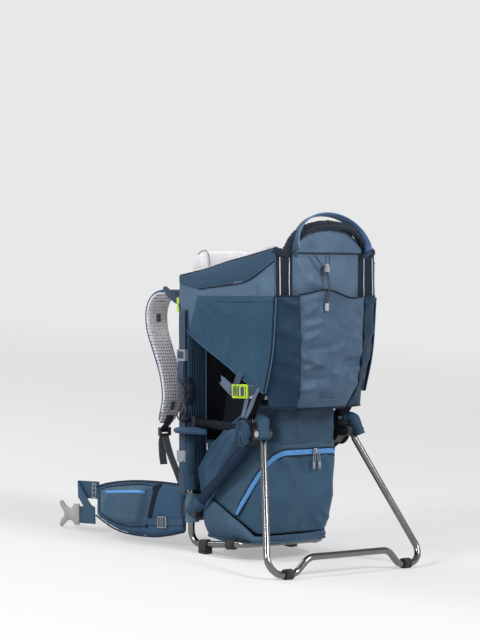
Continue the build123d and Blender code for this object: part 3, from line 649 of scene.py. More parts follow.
def patch(bottom, top, nu, nv, left=None, right=None):
    """A grid between four edges: bottom and top run from left to right, the others upward."""
    left = at_steps([bottom[0], top[0]] if left is None else left, nv)
    right = at_steps([bottom[-1], top[-1]] if right is None else right, nv)
    bottom, top = at_steps(bottom, nu), at_steps(top, nu)
    u = np.linspace(0, 1, nu)[:, None, None]
    v = np.linspace(0, 1, nv)[None, :, None]
    corners = (bottom[0] * (1 - u) * (1 - v) + bottom[-1] * u * (1 - v)
               + top[0] * (1 - u) * v + top[-1] * u * v)
    return bottom[:, None] * (1 - v) + top[:, None] * v + left[None] * (1 - u) + right[None] * u - corners


def surface(us, vs, at):
    """The grid of points at(u, v) over two rows of values."""
    return np.array([[at(u, v) for v in vs] for u in us], dtype=float)


def inner(grid, low=0.0, high=0.12):
    """0 at a grid's edges, 1 inside."""
    nu, nv = grid.shape[:2]
    u = np.linspace(0, 1, nu)[:, None]
    v = np.linspace(0, 1, nv)[None, :]
    return ease(np.minimum(np.minimum(u, 1 - u), np.minimum(v, 1 - v)), low, high)


def raised(grid, height):
    """A grid pushed out along its normals, away from the pack."""
    return grid - grid_normals(grid) * np.asarray(height)[..., None]


FOLD_GAIN = 1.8      # how deep all the cloth's folds and lumps are drawn
LUMP_GAIN = 1.4


def folds_on(grid, lines, axes=(1, 2)):
    """The height of several folds, each ((a, b), width, height), over two axes of a grid."""
    flat_points = grid.reshape(-1, 3)[:, list(axes)]
    total = np.zeros(len(flat_points))
    for start, end, width, height in lines:
        total += fold(flat_points, start, end, width, height)
    return total.reshape(grid.shape[:2]) * FOLD_GAIN


def lumps(grid, size, seed, height):
    """Soft unevenness about size across, height millimetres either way."""
    return noise(grid.reshape(-1, 3), size, seed).reshape(grid.shape[:2]) * height * LUMP_GAIN


def mirrored(shape, sign):
    verts, faces = shape
    return np.asarray(verts, dtype=float) * (sign, 1, 1), faces


def pair(name, shape, body, look, slot=None, node=None):
    """One shape on the left and its mirror image on the right; {} in body and node is the side."""
    made = []
    for side, sign in SIDES:
        obj = piece(f"{name}_{side}", *mirrored(shape, sign), body.format(side), look, slot)
        if node:
            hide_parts(node.format(side))
        made.append(obj)
    return made


def tube(path, radius, step=3.0, side=(0.3, 0.5, 0.8)):
    path = resample(path, step)
    return swept(path, side, round_outline(radius, 8))


def strap(path, width, thick, side, step=3.0, taper=None):
    """Webbing along a path, its width towards side; taper gives its relative width along the way."""
    path = resample(path, step)
    if taper is None:
        return swept(path, side, flat_outline(width, thick))
    narrow = np.interp(np.linspace(0, 1, len(path)), np.linspace(0, 1, len(taper)), taper)
    return swept(path, side, flat_outline(width, thick), np.stack([narrow, np.ones(len(path))], 1))


def scrunched(path, radius, seed, amount=0.16, lump=5.0, step=2.0, squeeze=(1.0, 1.0), count=18):
    """A gathered tube of cloth: its section swells and nips along its length."""
    path = resample(path, step)
    verts, faces = swept(path, (0.2, 0.6, 0.77), round_outline(radius, count) * squeeze)
    ring = verts[:-2].reshape(len(path), count, 3)
    out = ring - path[:, None]
    run = np.arange(len(path)) * step
    pleat = np.sin(run / lump * 2 * pi + noise(path, 11, seed) * 4)[:, None]
    swirl = noise(ring.reshape(-1, 3), lump * 1.3, seed + 1).reshape(ring.shape[:2])
    ring = path[:, None] + out * (1 + amount * (0.55 * pleat + 0.9 * swirl))[..., None]
    return np.concatenate([ring.reshape(-1, 3), verts[-2:]]), faces


# ---- cockpit sides -------------------------------------------------------------------------------
OUT_X = -140.0
LINING_X = -133.5
RIM = [(238, 604), (160, 616), (90, 631), (20, 643), (-54, 657)]
REAR_EDGE = [(-24, 366), (-46, 450), (-56, 560), (-54, 657)]
LOWER_EDGE = [(240, 548), (222, 500), (175, 466), (102, 428), (30, 388), (-24, 366)]
COLLAR_SEAM = [(236, 590), (174, 577), (96, 584), (28, 592), (-17, 612), (-55, 632)]
HEM = [(178, 563), (60, 562), (-56, 561)]
POCKET_FRONT = [(205, 494), (192, 530), (178, 563)]


def cockpit_sides():
    """Side walls: slate base, pale ribbed strip, stretch pocket, padded collar, bindings."""
    base = patch(flat(OUT_X, LOWER_EDGE), flat(OUT_X, RIM), 50, 40, right=flat(OUT_X, REAR_EDGE))
    base = raised(base, inner(base) * (1.2 + lumps(base, 45, 3, 1.0)))
    pair("cockpit_side", sheet_mesh(base, 2.5, True), "pack", "slate", node="cockpit_side_{}")

    lining = patch(flat(LINING_X, LOWER_EDGE), flat(LINING_X, RIM), 30, 24, right=flat(LINING_X, REAR_EDGE))
    lining = raised(lining, lumps(lining, 40, 7, 1.2) * inner(lining))
    pair("cockpit_lining", sheet_mesh(lining, 3.0, True), "pack", "lining")

    strip = patch(flat(OUT_X - 1.5, HEM), flat(OUT_X - 1.5, COLLAR_SEAM[1:]), 60, 14)
    strip = raised(strip, 1.0 + lumps(strip, 16, 5, 1.0) + folds_on(strip, [
        ((-20, 600), (-44, 566), 7, 3.0), ((-4, 585), (-12, 562), 6, -2.0),
        ((160, 575), (150, 562), 4, 1.0)]))
    pair("cockpit_strip", sheet_mesh(strip, 1.2, True), "pack", "strip")

    pocket = patch(flat(OUT_X - 2, [POCKET_FRONT[0], *LOWER_EDGE[2:]]), flat(OUT_X - 2, HEM), 90, 60,
                   left=flat(OUT_X - 2, POCKET_FRONT), right=flat(OUT_X - 2, REAR_EDGE[:3]))
    relief = inner(pocket, 0, 0.1) * (1.8 + lumps(pocket, 60, 11, 1.4)) + folds_on(pocket, [
        ((176, 556), (96, 486), 5.5, 2.3), ((180, 552), (128, 466), 4.5, 2.0),
        ((184, 548), (158, 474), 4.0, 1.7),
        ((174, 560), (60, 520), 6.5, 1.2), ((192, 524), (180, 478), 3.5, 1.2),
        ((-18, 376), (10, 450), 7, 1.4),
        ((-10, 376), (60, 430), 7, 1.0), ((90, 430), (70, 490), 9, 0.9), ((-38, 480), (20, 540), 10, 1.2)])
    pocket = raised(pocket, relief)
    pair("side_pocket", sheet_mesh(pocket, 1.4, True), "pack", "denim")

    hem = patch(flat(OUT_X - 3.4, [(178, 553), (60, 552), (-55, 551)]), flat(OUT_X - 3.4, HEM), 80, 5)
    hem = raised(hem, 1.0 + lumps(hem, 14, 13, 0.5))
    pair("pocket_hem", sheet_mesh(hem, 1.6, True), "pack", "denim")

    collar = patch(flat(OUT_X - 2, COLLAR_SEAM), flat(OUT_X - 1.2, RIM), 70, 12,
                   left=flat(OUT_X - 2, [COLLAR_SEAM[0], RIM[0]]),
                   right=flat(OUT_X - 2, [COLLAR_SEAM[-1], RIM[-1]]))
    collar = raised(collar, inner(collar, 0, 0.3) * 2.6 + lumps(collar, 24, 17, 0.7))
    pair("cockpit_collar", sheet_mesh(collar, 5.0, True), "pack", "denim_plain")

    rim = smooth_path(flat(-137.5, RIM))
    pair("rim_binding", tube(rim + (0, 0, 1.2), 3.2), "pack", "ink")
    seam = smooth_path(flat(OUT_X - 3.6, COLLAR_SEAM[1:]))
    pair("collar_piping", tube(seam, 1.1), "pack", "ink")
    edge = smooth_path(flat(OUT_X - 1.4, LOWER_EDGE))
    pair("edge_binding", tube(edge, 1.5), "pack", "piping")
    rear = smooth_path(flat(OUT_X - 1.0, REAR_EDGE[:3]))
    pair("corner_piping", tube(rear + (-0.6, -5.0, 0), 1.4), "pack", "piping")
    # A dark strip along the rear edge is painted shadow of the deep gap between the side pocket and the bag
    # behind.
    pair("corner_painted_shadow_strip", strap(rear + (-0.4, 0, 0), 6.5, 1.6, (0, 1, 0)), "pack", "ink")
    rows = [stitches(smooth_path(flat(OUT_X - 4.4, [(y, z - d) for y, z in HEM]), 12) + (-1.2, 0, 0),
                     (-0.5, 0, 0))
            for d in (3.0, 8.0)]
    rows.append(stitches(smooth_path(flat(OUT_X - 4.0, [(y, z + 3.5) for y, z in COLLAR_SEAM[1:]])),
                         (-0.6, 0, 0)))
    pair("side_stitching", join(rows), "pack", "thread")


# ---- the bag behind the child --------------------------------------------------------------------
SEAM_HEIGHTS = (332, 375, 450, 560, 652)
PANEL_Y = (-17, -48, -63, -72, -67)       # middle of the panel above and behind the stretch pocket
POCKET_Y = (-50, -77, -88, -92, -92)      # middle of the stretch pocket
SIDE_Y = (-26, -24, -46, -56, -54)        # where the bag meets the cockpit sides
SIDE_X = (126, 133, 139, 140, 140)
SEAM_X = (70, 80, 88, 93, 93)


SEAM_SWEEP = (8, 12, 14, 16, 10)          # how far the seams lie ahead of the middle


def at_height(z, *rows):
    """What rows of values, one for each seam height, come to at a height."""
    return [np.interp(z, SEAM_HEIGHTS, values) for values in rows]


def back_face(depths, z_low, z_top, nu=70, nv=64):
    """The middle of the bag between its two upright seams; z_top is a function of x."""
    def at(t, k):
        z = z_low + (z_top(t * 93) - z_low) * k
        half, middle, sweep = at_height(z, SEAM_X, depths, SEAM_SWEEP)
        return t * half, middle + sweep * t * t, z
    return surface(np.linspace(-1, 1, nu), np.linspace(0, 1, nv), at)


def back_corner(depths, z_low, z_high, swell=3.0):
    """The left side of the bag, from the cockpit side round to the upright seam."""
    def at(t, z):
        half, middle, sweep, side_x, side_y = at_height(z, SEAM_X, depths, SEAM_SWEEP, SIDE_X, SIDE_Y)
        bow = 4 * t * (1 - t) * (swell + 3.0)
        return (-side_x * (1 - t) - half * t - 0.5 * bow,
                side_y * (1 - t) + (middle + sweep) * t - 0.86 * bow, z)
    return surface(np.linspace(0, 1, 16), np.linspace(z_low, z_high, 56), at)


def pocket_top(x):
    return 561 + 16 * np.exp(-((x + 38) / 42) ** 2) + 2 * np.cos(x / 16)


def back_bag():
    panel = back_face(PANEL_Y, 334, lambda x: 653)
    panel = raised(panel, inner(panel, 0, 0.1) * (1.5 + lumps(panel, 50, 23, 1.6)) + folds_on(panel, [
        ((-60, 600), (-10, 572), 12, 2.5), ((-84, 640), (-60, 590), 7, 1.5), ((86, 640), (50, 590), 8, 1.5),
        ((20, 640), (60, 580), 12, 1.2)], (0, 2)))
    obj = piece("rear_panel_cloth", *sheet_mesh(panel, 5.5, True), "pack", "slate")
    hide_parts("rear_panel")

    corner = back_corner(PANEL_Y, 336, 653)
    corner = raised(corner, lumps(corner, 26, 29, 1.0))
    pair("rear_corner", sheet_mesh(corner, 4.0, True), "pack", "ink")
    for t, name in ((0.3, "front"), (0.86, "back")):
        line = corner[int(t * 15), 38:] + (-1.2, -1.6, 0)
        pair(f"elastic_piping_{name}", tube(smooth_path(line[::3]), 1.0), "pack", "pale_cord")

    face = back_face(POCKET_Y, 334, pocket_top, 90, 84)
    edge_pull = inner(face, 0, 0.06)
    relief = edge_pull * (1.5 + lumps(face, 42, 31, 2.6) + lumps(face, 17, 37, 0.8)) + folds_on(face, [
        ((-86, 522), (-52, 545), 6, 3.0), ((-88, 500), (-30, 512), 7, 2.6), ((-87, 470), (-40, 490), 6, 3.4),
        ((-86, 452), (-10, 462), 8, -2.4), ((-86, 440), (-20, 420), 7, 3.2),
        ((-84, 410), (-30, 428), 6, 2.8),
        ((-83, 392), (0, 396), 8, -2.2), ((-84, 372), (-40, 380), 6, 2.4), ((86, 470), (20, 486), 8, 3.0),
        ((87, 452), (30, 440), 7, 3.2), ((86, 430), (10, 424), 8, -2.4), ((85, 412), (30, 420), 6, 2.8),
        ((84, 384), (34, 396), 7, 2.4), ((-20, 446), (40, 468), 9, 3.2), ((-10, 404), (50, 410), 8, 2.4),
        ((30, 520), (80, 500), 9, 2.0), ((-30, 372), (30, 362), 9, 1.8), ((84, 520), (60, 548), 7, 1.8),
        ((0, 505), (50, 484), 7, -2.2), ((-60, 528), (10, 538), 10, 1.4)], (0, 2))
    face = raised(face, relief)
    obj = piece("rear_pocket_face", *sheet_mesh(face, 1.6, True), "pack", "slate_stretch")
    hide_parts("rear_pocket")

    gusset = back_corner(POCKET_Y, 336, 563, swell=1.0)
    gusset = raised(gusset, 2.0 + inner(gusset, 0, 0.2) * lumps(gusset, 22, 41, 2.0) + folds_on(gusset, [
        ((-60, 560), (-76, 540), 5, 2.5), ((-52, 500), (-84, 470), 8, 2.0), ((-46, 440), (-80, 420), 8, 1.8),
        ((-40, 400), (-76, 385), 7, 1.6)]))
    pair("pocket_gusset", sheet_mesh(gusset, 1.6, True), "pack", "navy")

    seam_line = face[0, :, :] + (-0.6, -0.8, 0)
    pair("pocket_seam", tube(smooth_path(seam_line[::6]), 1.5), "pack", "ink")
    top_line = face[:, -1, :] + (0, -0.6, 0)
    piece("pocket_hem_rear", *tube(smooth_path(top_line[::5]), 1.7), "pack", "ink")
    gusset_top = gusset[:, -1, :]
    pair("gusset_hem", tube(smooth_path(gusset_top[::3]), 1.7), "pack", "ink")
    foot = face[:, 0, :] + (0, -0.5, -0.5)
    piece("bag_foot_binding", *tube(smooth_path(foot[::6]), 2.2), "pack", "ink")
    gusset_foot = gusset[:, 0, :]
    pair("gusset_foot_binding", tube(smooth_path(gusset_foot[::3]), 1.8), "pack", "ink")
    band = stitches(smooth_path((face[:, 6, :] + (0, -0.9, 0))[::6]), (0, -0.5, 0))
    head_seam = np.array([(x, -68.6 - 3.5 + 10 * (x / 93) ** 2, 650.5) for x in np.linspace(-92, 92, 24)])
    line = stitches(head_seam + (0, -0.6, -4), (0, -0.5, 0))
    piece("bag_stitching", *join([band, line]), "pack", "thread")
    piece("head_seam", *tube(head_seam, 1.0), "pack", "ink")


# ---- head panel, handle and drawcord -------------------------------------------------------------
DOME_R = (97.0 ** 2 + 39.0 ** 2) / (2 * 39.0)


def dome_z(x):
    return 713.0 - DOME_R + np.sqrt(np.maximum(DOME_R ** 2 - np.asarray(x, dtype=float) ** 2, 0))


def head_panel():
    grid = surface(np.linspace(-96, 96, 60), np.linspace(0, 1, 22), lambda x, k: (
        x, -70.5 - 3 * sin(pi * k) + 9 * (x / 96) ** 2 + 5 * k * k, 650 + (dome_z(x) - 7 - 650) * k))
    grid = raised(grid, inner(grid, 0, 0.2) * lumps(grid, 34, 43, 1.6) + folds_on(grid, [
        ((-60, 690), (-40, 660), 8, 1.4), ((50, 694), (30, 664), 9, 1.2), ((0, 704), (-8, 680), 5, 1.0)],
        (0, 2)))
    obj = piece("head_panel_cloth", *sheet_mesh(grid, 9.0, True), "pack", "slate")
    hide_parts("head_panel")
    arc = [(-116, -54, 642), (-108, -57, 658), (-98, -60, 676), (-78, -62, 693), (-42, -63.5, 705),
           (0, -64, 709.5)]
    arc += [(-x, y, z) for x, y, z in arc[-2::-1]]
    path = smooth_path(arc)
    piece("dome_gather", *scrunched(path, 8.2, 47, 0.13, 7.0, 1.6), "pack", "gather")
    path = smooth_path([(-97, -69, 668), (-72, -73.5, 690), (-40, -76, 701), (0, -77, 704), (40, -76, 701),
                        (72, -73.5, 690), (97, -69, 668)])
    piece("dome_gather_edge", *scrunched(path, 4.2, 53, 0.2, 4.0, 1.4), "pack", "gather")
    link = scrunched(smooth_path([(-112, -57, 652), (-122, -58, 650), (-132, -56, 652), (-138, -50, 656)]),
                     7.5, 59,
                     0.22, 5.0, 1.4)
    pair("collar_gather", link, "pack", "gather")


HANDLE_TILT = radians(17)


def handle_path(rx, rise):
    a = np.linspace(pi, 0, 60)
    up = np.sin(a) * rise
    return np.stack([np.cos(a) * rx, -79 + up * sin(HANDLE_TILT), 656 + up * cos(HANDLE_TILT)], axis=1)


def grab_handle():
    wide = (0, cos(HANDLE_TILT), -sin(HANDLE_TILT))
    web = strap(handle_path(103.2, 78.2), 20, 1.5, wide)
    obj = piece("handle_webbing", *web, "handle", "handle_web")
    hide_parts("grab_handle")
    piece("handle_lining", *strap(handle_path(101.4, 76.4), 16, 1.3, wide), "handle", "handle_lining")
    for name, w, look in (("rear", -9.8, "pale_blue"), ("front", 9.8, "ink")):
        edge = tube(handle_path(102.6, 77.4) + np.array(wide) * w, 1.3, side=wide)
        piece(f"handle_edge_{name}", *edge, "handle", look, "slate_fabric")
    rows = [stitches(handle_path(104.2, 79.2) + np.array(wide) * w, (0, 0, 0.3)) for w in (-6.5, 6.5)]
    piece("handle_stitching", *join(rows), "handle", "thread")
    tab = strap([(-103, -78.5, 657), (-101, -73.0, 650), (-96, -68.0, 642)], 19, 1.6, (0.2, 0.95, -0.2), 2.0,
                (1.0, 0.75, 0.45))
    pair("handle_tab", tab, "pack", "handle_web")


TAIL_ROUTES = (
    [(-22, -81, 611.5), (-23, -84, 597), (-26, -94, 582), (-33, -97, 564), (-37, -96.5, 549)],
    [(-18, -81, 611.5), (-18, -85, 596), (-21, -95, 580), (-29, -98, 562), (-33.5, -97, 549)],
)


def drawcord_tails():
    """The two limp ends of the drawcord, out of the cord lock and down to their shared pull."""
    for name, route in zip("ab", TAIL_ROUTES):
        curve = bpy.data.curves.new(f"drawcord_tail_{name}", "CURVE")
        curve.dimensions = "3D"
        curve.bevel_depth = 0.0012
        curve.bevel_resolution = 3
        spline = curve.splines.new("NURBS")
        spline.points.add(len(route) - 1)
        for point, at in zip(spline.points, row(route)):
            point.co = (*at, 1.0)
        spline.order_u = 3
        spline.use_endpoint_u = True
        curve.materials.append(M["cord"])
        obj = bpy.data.objects.new(f"drawcord_tail_{name}", curve)
        bpy.context.scene.collection.objects.link(obj)
        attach(obj, "pack")
        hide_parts("drawcord_tail")
        tuple(row(route[:1])[0])


cockpit_sides()
back_bag()
head_panel()
grab_handle()
drawcord_tails()


# ---- padded pieces -------------------------------------------------------------------------------
CLOTH_VOXEL = 0.005          # metres between the points of a simulated cover
STUFFING_PRESSURE = 4.0
CLOTH_STEPS = 20


def plump(obj, cap=0.006):
    """Swell a closed slab like stuffed cloth: remesh, cloth under pressure, capped, then smoothed."""
    remesh = obj.modifiers.new("remesh", "REMESH")
    remesh.mode = "VOXEL"
    remesh.voxel_size = CLOTH_VOXEL
    bake(obj)
    count = len(obj.data.vertices)
    rest = np.empty(count * 3)
    obj.data.vertices.foreach_get("co", rest)
    cloth_mod = obj.modifiers.new("cloth", "CLOTH")
    settings = cloth_mod.settings
    settings.quality = 4
    settings.mass = 0.25
    settings.tension_stiffness = 25
    settings.compression_stiffness = 25
    settings.bending_stiffness = 0.6
    settings.use_pressure = True
    settings.uniform_pressure_force = STUFFING_PRESSURE
    settings.effector_weights.gravity = 0
    scene = bpy.context.scene
    for step in range(1, CLOTH_STEPS + 1):
        scene.frame_set(step)
    bake(obj)
    scene.frame_set(1)
    moved = np.empty(count * 3)
    obj.data.vertices.foreach_get("co", moved)
    shift = (moved - rest).reshape(-1, 3)
    far = np.linalg.norm(shift, axis=1, keepdims=True)
    shift *= np.minimum(1.0, cap / np.maximum(far, 1e-9))
    obj.data.vertices.foreach_set("co", (rest.reshape(-1, 3) + shift).ravel())
    obj.data.update()
    subdivide = obj.modifiers.new("smooth", "SUBSURF")
    subdivide.levels = 1
    bake(obj)
    obj.data.shade_smooth()


def bake(obj):
    """Replace a piece's mesh by what its modifiers make of it."""
    graph = bpy.context.evaluated_depsgraph_get()
    graph.update()
    mesh = bpy.data.meshes.new_from_object(obj.evaluated_get(graph))
    obj.modifiers.clear()
    old = obj.data
    obj.data = mesh
    bpy.data.meshes.remove(old)


def twin(obj, name, body):
    """The mirror image of a finished left piece, for the right side."""
    mesh = obj.data.copy()
    mesh.transform(Matrix.Diagonal((-1, 1, 1, 1)))
    mesh.flip_normals()
    other = bpy.data.objects.new(name, mesh)
    bpy.context.scene.collection.objects.link(other)
    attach(other, body)
    return other


def stuffed(name, shape, body, look, node, cap):
    """One padded piece, swelled, in the place of a CAD node."""
    obj = piece(name, *shape, body, look)
    plump(obj, cap)
    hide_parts(node)


def stuffed_pair(name, shape, body, look, node=None, cap=0.006):
    """A padded piece, swelled once on the left and mirrored to the right."""
    left = piece(f"{name}_left", *shape, body.format("left"), look)
    plump(left, cap)
    right = twin(left, f"{name}_right", body.format("right"))
    for obj, side in ((left, "left"), (right, "right")):
        if node:
            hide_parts(node.format(side))


# ---- lower compartment, its flap and zip ---------------------------------------------------------
BAG_FOOT_Z, BAG_MIDDLE_Z, BAG_TOP_Z = 64.5, 150.0, 262.0
BAG_Z = (BAG_FOOT_Z, BAG_MIDDLE_Z, BAG_TOP_Z)
BAG_REAR = (32.0, 2.0, -8.0)
BAG_FRONT = (190.0, 196.0, 196.0)
BAG_HALF_REAR = (92.0, 90.0, 84.0)
BAG_HALF_FRONT = (108.0, 114.0, 114.0)
BAG_CORNER = 24.0
SEAM_LINE = ((-60, 29, 62, 100, 130, 160, 200), (75, 75, 89, 106, 122, 138, 150))
ZIP_LINE = ((-60, -6, 16, 42, 66, 84, 100), (250, 249, 231, 202, 166, 135, 107))
BAG_COLUMNS = (14, 9, 40, 9, 16)          # front, corner, side, corner, rear, on the left half


def half_loop(z):
    """The bag's left half at a height, from the middle of its front to the middle of its rear."""
    rear, front = np.interp(z, BAG_Z, BAG_REAR), np.interp(z, BAG_Z, BAG_FRONT)
    hr, hf = np.interp(z, BAG_Z, BAG_HALF_REAR), np.interp(z, BAG_Z, BAG_HALF_FRONT)
    out = [np.stack([np.linspace(0, -hf + BAG_CORNER, BAG_COLUMNS[0]), np.full(BAG_COLUMNS[0], front)], 1)]
    a = np.linspace(0, pi / 2, BAG_COLUMNS[1] + 2)[1:-1]
    out.append(np.stack([-hf + BAG_CORNER - BAG_CORNER * np.sin(a),
                         front - BAG_CORNER + BAG_CORNER * np.cos(a)], 1))
    t = np.linspace(0, 1, BAG_COLUMNS[2])
    out.append(np.stack([-hf + (hf - hr) * t, front - BAG_CORNER + (rear - front + 2 * BAG_CORNER) * t], 1))
    out.append(np.stack([-hr + BAG_CORNER - BAG_CORNER * np.cos(a),
                         rear + BAG_CORNER - BAG_CORNER * np.sin(a)], 1))
    out.append(np.stack([np.linspace(-hr + BAG_CORNER, 0, BAG_COLUMNS[4]), np.full(BAG_COLUMNS[4], rear)],
                        1))
    return np.concatenate(out)


def whole_loop(z):
    half = half_loop(z)
    return np.concatenate([half, half[-2::-1] * (-1, 1)])


def bag_grid(low, high, rows, columns=None):
    """Part of the bag's wall, between two lines that depend on how far forward a column is."""
    middle = whole_loop(BAG_MIDDLE_Z)
    keep = range(len(middle)) if columns is None else columns
    grid = np.zeros((len(keep), rows, 3))
    for j, k in enumerate(np.linspace(0, 1, rows)):
        for i, c in enumerate(keep):
            y = middle[c, 1]
            z = low(y) + (high(y) - low(y)) * k
            grid[i, j] = (*whole_loop(z)[c], z)
    return grid


def seam_z(y):
    return np.interp(y, *SEAM_LINE)


def zip_z(y):
    return np.interp(y, *ZIP_LINE)


def lower_bag():
    whole = whole_loop(BAG_MIDDLE_Z)
    behind = [i for i in range(len(whole)) if whole[i, 1] < 100]

    upper = bag_grid(lambda y: zip_z(y) + 1.5 if y < 100 else seam_z(y) + 1, lambda y: BAG_TOP_Z, 26)
    upper = raised(upper, lumps(upper, 40, 61, 1.6))
    obj = piece("compartment_upper", *sheet_mesh(upper, 2.5, True), "pack", "slate_ripstop")
    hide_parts("lower_compartment")

    base = bag_grid(lambda y: BAG_FOOT_Z, lambda y: seam_z(y) - 0.6, 18)
    foot = ease(base[..., 2], 60, 92)
    gathers = np.sin(base[..., 0] * 0.42 + base[..., 1] * 0.5) * 1.6 * (1 - foot) * ease(-base[..., 1], -120,
                                                                                         -40)
    run = np.linspace(0, 1, base.shape[1])[None, :]
    side = ease(np.abs(base[..., 0]), 70, 95) * ease(base[..., 1], 20, 70) * ease(-base[..., 1], -200, -178)
    belly = 11 * side * np.sin(pi * np.clip(run * 0.8 + 0.12, 0, 1)) + 3 * foot
    base = raised(base, belly + lumps(base, 26, 67, 2.2) * foot + gathers)
    base[..., 2] -= (1 - foot) * 9 * ease(base[..., 1], -10, 40) * ease(-base[..., 1], -180, -120)
    base[..., 2] += (1 - foot) * 9 * ease(base[..., 0], 20, 90) * ease(-base[..., 1], -60, -10)
    piece("compartment_base", *sheet_mesh(base, 2.5, True), "pack", "slate_ripstop")

    floor = surface(np.linspace(-1, 1, 24), np.linspace(0, 1, 24),
                    lambda u, v: (u * (88 + 15 * v), 36 + v * 150, 68))
    floor[..., 2] += lumps(floor, 30, 71, 1.5)
    piece("compartment_floor", *sheet_mesh(floor, 2.0), "pack", "navy_cloth")
    roof = floor * (0.92, 1, 1) + (0, -26, 192)
    piece("compartment_roof", *sheet_mesh(roof, 2.0), "pack", "ink")

    flap = bag_grid(lambda y: seam_z(y) + 0.4, lambda y: max(zip_z(y) - 1.5, seam_z(y) + 0.6), 44, behind)
    relief = inner(flap, 0, 0.08) * (2.2 + lumps(flap, 55, 73, 2.4)) + folds_on(flap, [
        ((-70, 238), (-30, 170), 9, 2.4), ((-30, 242), (-10, 190), 8, -2.0), ((10, 240), (20, 196), 8, 1.6),
        ((40, 244), (60, 200), 8, 1.8), ((70, 82), (30, 110), 8, 2.4), ((84, 96), (50, 124), 7, 2.2),
        ((-60, 80), (-30, 108), 9, 1.8), ((0, 78), (10, 100), 7, 1.4)], (0, 2))
    flap = raised(flap, relief)
    obj = piece("flap_cloth", *sheet_mesh(flap, 2.2, True), "flap", "flap_ripstop")
    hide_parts("compartment_flap")

    edge = bag_grid(lambda y: seam_z(y), lambda y: seam_z(y) + 1, 2)[:, 0]
    piece("compartment_seam", *tube(smooth_path(edge[::3]), 1.3), "pack", "ink")
    hem = base[:, 0, :][4:-4:3]
    piece("compartment_hem", *scrunched(smooth_path(hem), 3.0, 79, 0.25, 7.0, 2.0), "pack", "slate_ripstop")

    line = bag_grid(zip_z, lambda y: zip_z(y) + 1, 2, behind)[:, 0]
    line = smooth_path(line[::2], 4)
    zipper("compartment_zip", line, "pack", "flap")
    zip_pulls()
    neck()


def zip_pulls():
    """Two cord-like loops with moulded grips on the compartment's slider."""
    loops = []
    for x, lean in ((9.5, -1.0), (18.5, 2.5)):
        ring = [(x + 2.8 * cos(a) - lean * (sin(a) - 1), -14.6,
                 232 + 12 * sin(a)) for a in np.linspace(0, 2 * pi, 25)]
        loops.append(swept(ring, (0, 1, 0), round_outline(0.85, 8)))
        foot = x + 2 * lean
        loops.append(swept([(foot, -14.6, 221), (foot, -14.9, 214), (foot, -14.9, 207)], (1, 0, 0),
                           round_outline(1.0, 12) * (3.2, 1.3)))
    obj = piece("zip_loops", *join(loops), "pull", "silver")
    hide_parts("zip_pull")


def zipper(name, line, upper, lower, tape=5.5, step=2.6):
    """Two woven tapes with interlocked teeth, one half on each body, and a fold of cloth over each."""
    line = resample(line, 1.3)
    around = unit(line * (1, 1, 0) - (0, 90, 0))
    tangent = unit(np.gradient(line, axis=0))
    across = unit(np.cross(around, tangent))
    across *= np.sign(across[:, 2:3] + 1e-6)
    proud = line + around * 1.6
    for body, way in ((upper, 1.0), (lower, -1.0)):
        path = proud + across * way * tape * 0.52
        piece(f"{name}_tape_{body}", *swept(path, across, flat_outline(tape, 1.1, 4)), body, "zip_tape")
        teeth = []
        count = int(len(line) * 1.3 / step)
        at = np.linspace(2, len(line) - 3, count)
        for k in at:
            i = int(k)
            here = proud[i] + across[i] * way * 0.9 + around[i] * 0.5
            t, s, o = tangent[i], across[i], around[i]
            corners = [here + t * a * 0.75 + s * b * 1.5 + o * c * 0.7
                       for a in (-1, 1) for b in (-1, 1) for c in (-1, 1)]
            faces = [(0, 1, 3, 2), (4, 6, 7, 5), (0, 4, 5, 1), (2, 3, 7, 6), (0, 2, 6, 4), (1, 5, 7, 3)]
            teeth.append((np.array(corners), faces))
        piece(f"{name}_teeth_{body}", *join(teeth), body, "zip_teeth", smooth=False)
        garage = proud + across * way * (tape + 1.2) + around * 0.4
        piece(f"{name}_cover_{body}", *swept(garage, across, flat_outline(3.2, 1.8, 4)), body, "ink")


def neck():
    """The cloth between the compartment and the bag behind the child."""
    nu, nv = 70, 20
    grid = np.zeros((nu, nv, 3))
    low = half_loop(BAG_TOP_Z)
    keep = low[low[:, 1] < 64]
    path = at_steps(np.array([(x, y, 262) for x, y in keep] + [(-x, y, 262) for x, y in keep[-2::-1]]), nu)
    for j, k in enumerate(np.linspace(0, 1, nv)):
        z = 260 + 78 * k
        ring = path.copy()
        ring[:, 0] *= 1 - 0.05 * k
        ring[:, 1] += -8 * k * (1 - np.abs(path[:, 0]) / 130)
        ring[:, 2] = z
        grid[:, j] = ring
    grid = raised(grid, inner(grid, 0, 0.15) * lumps(grid, 30, 83, 2.5) + folds_on(grid, [
        ((-40, 330), (-30, 270), 9, 2.0), ((20, 332), (50, 272), 9, -2.0), ((60, 330), (70, 280), 7, 2.0)],
        (0, 2)))
    piece("compartment_neck", *sheet_mesh(grid, 2.4, True), "pack", "neck")


# ---- sleeves, gussets and caps on the frame ------------------------------------------------------
def sleeve_wrinkles(path, radius, seed, amount=0.09):
    return scrunched(path, radius, seed, amount, 22.0, 2.5, count=20)


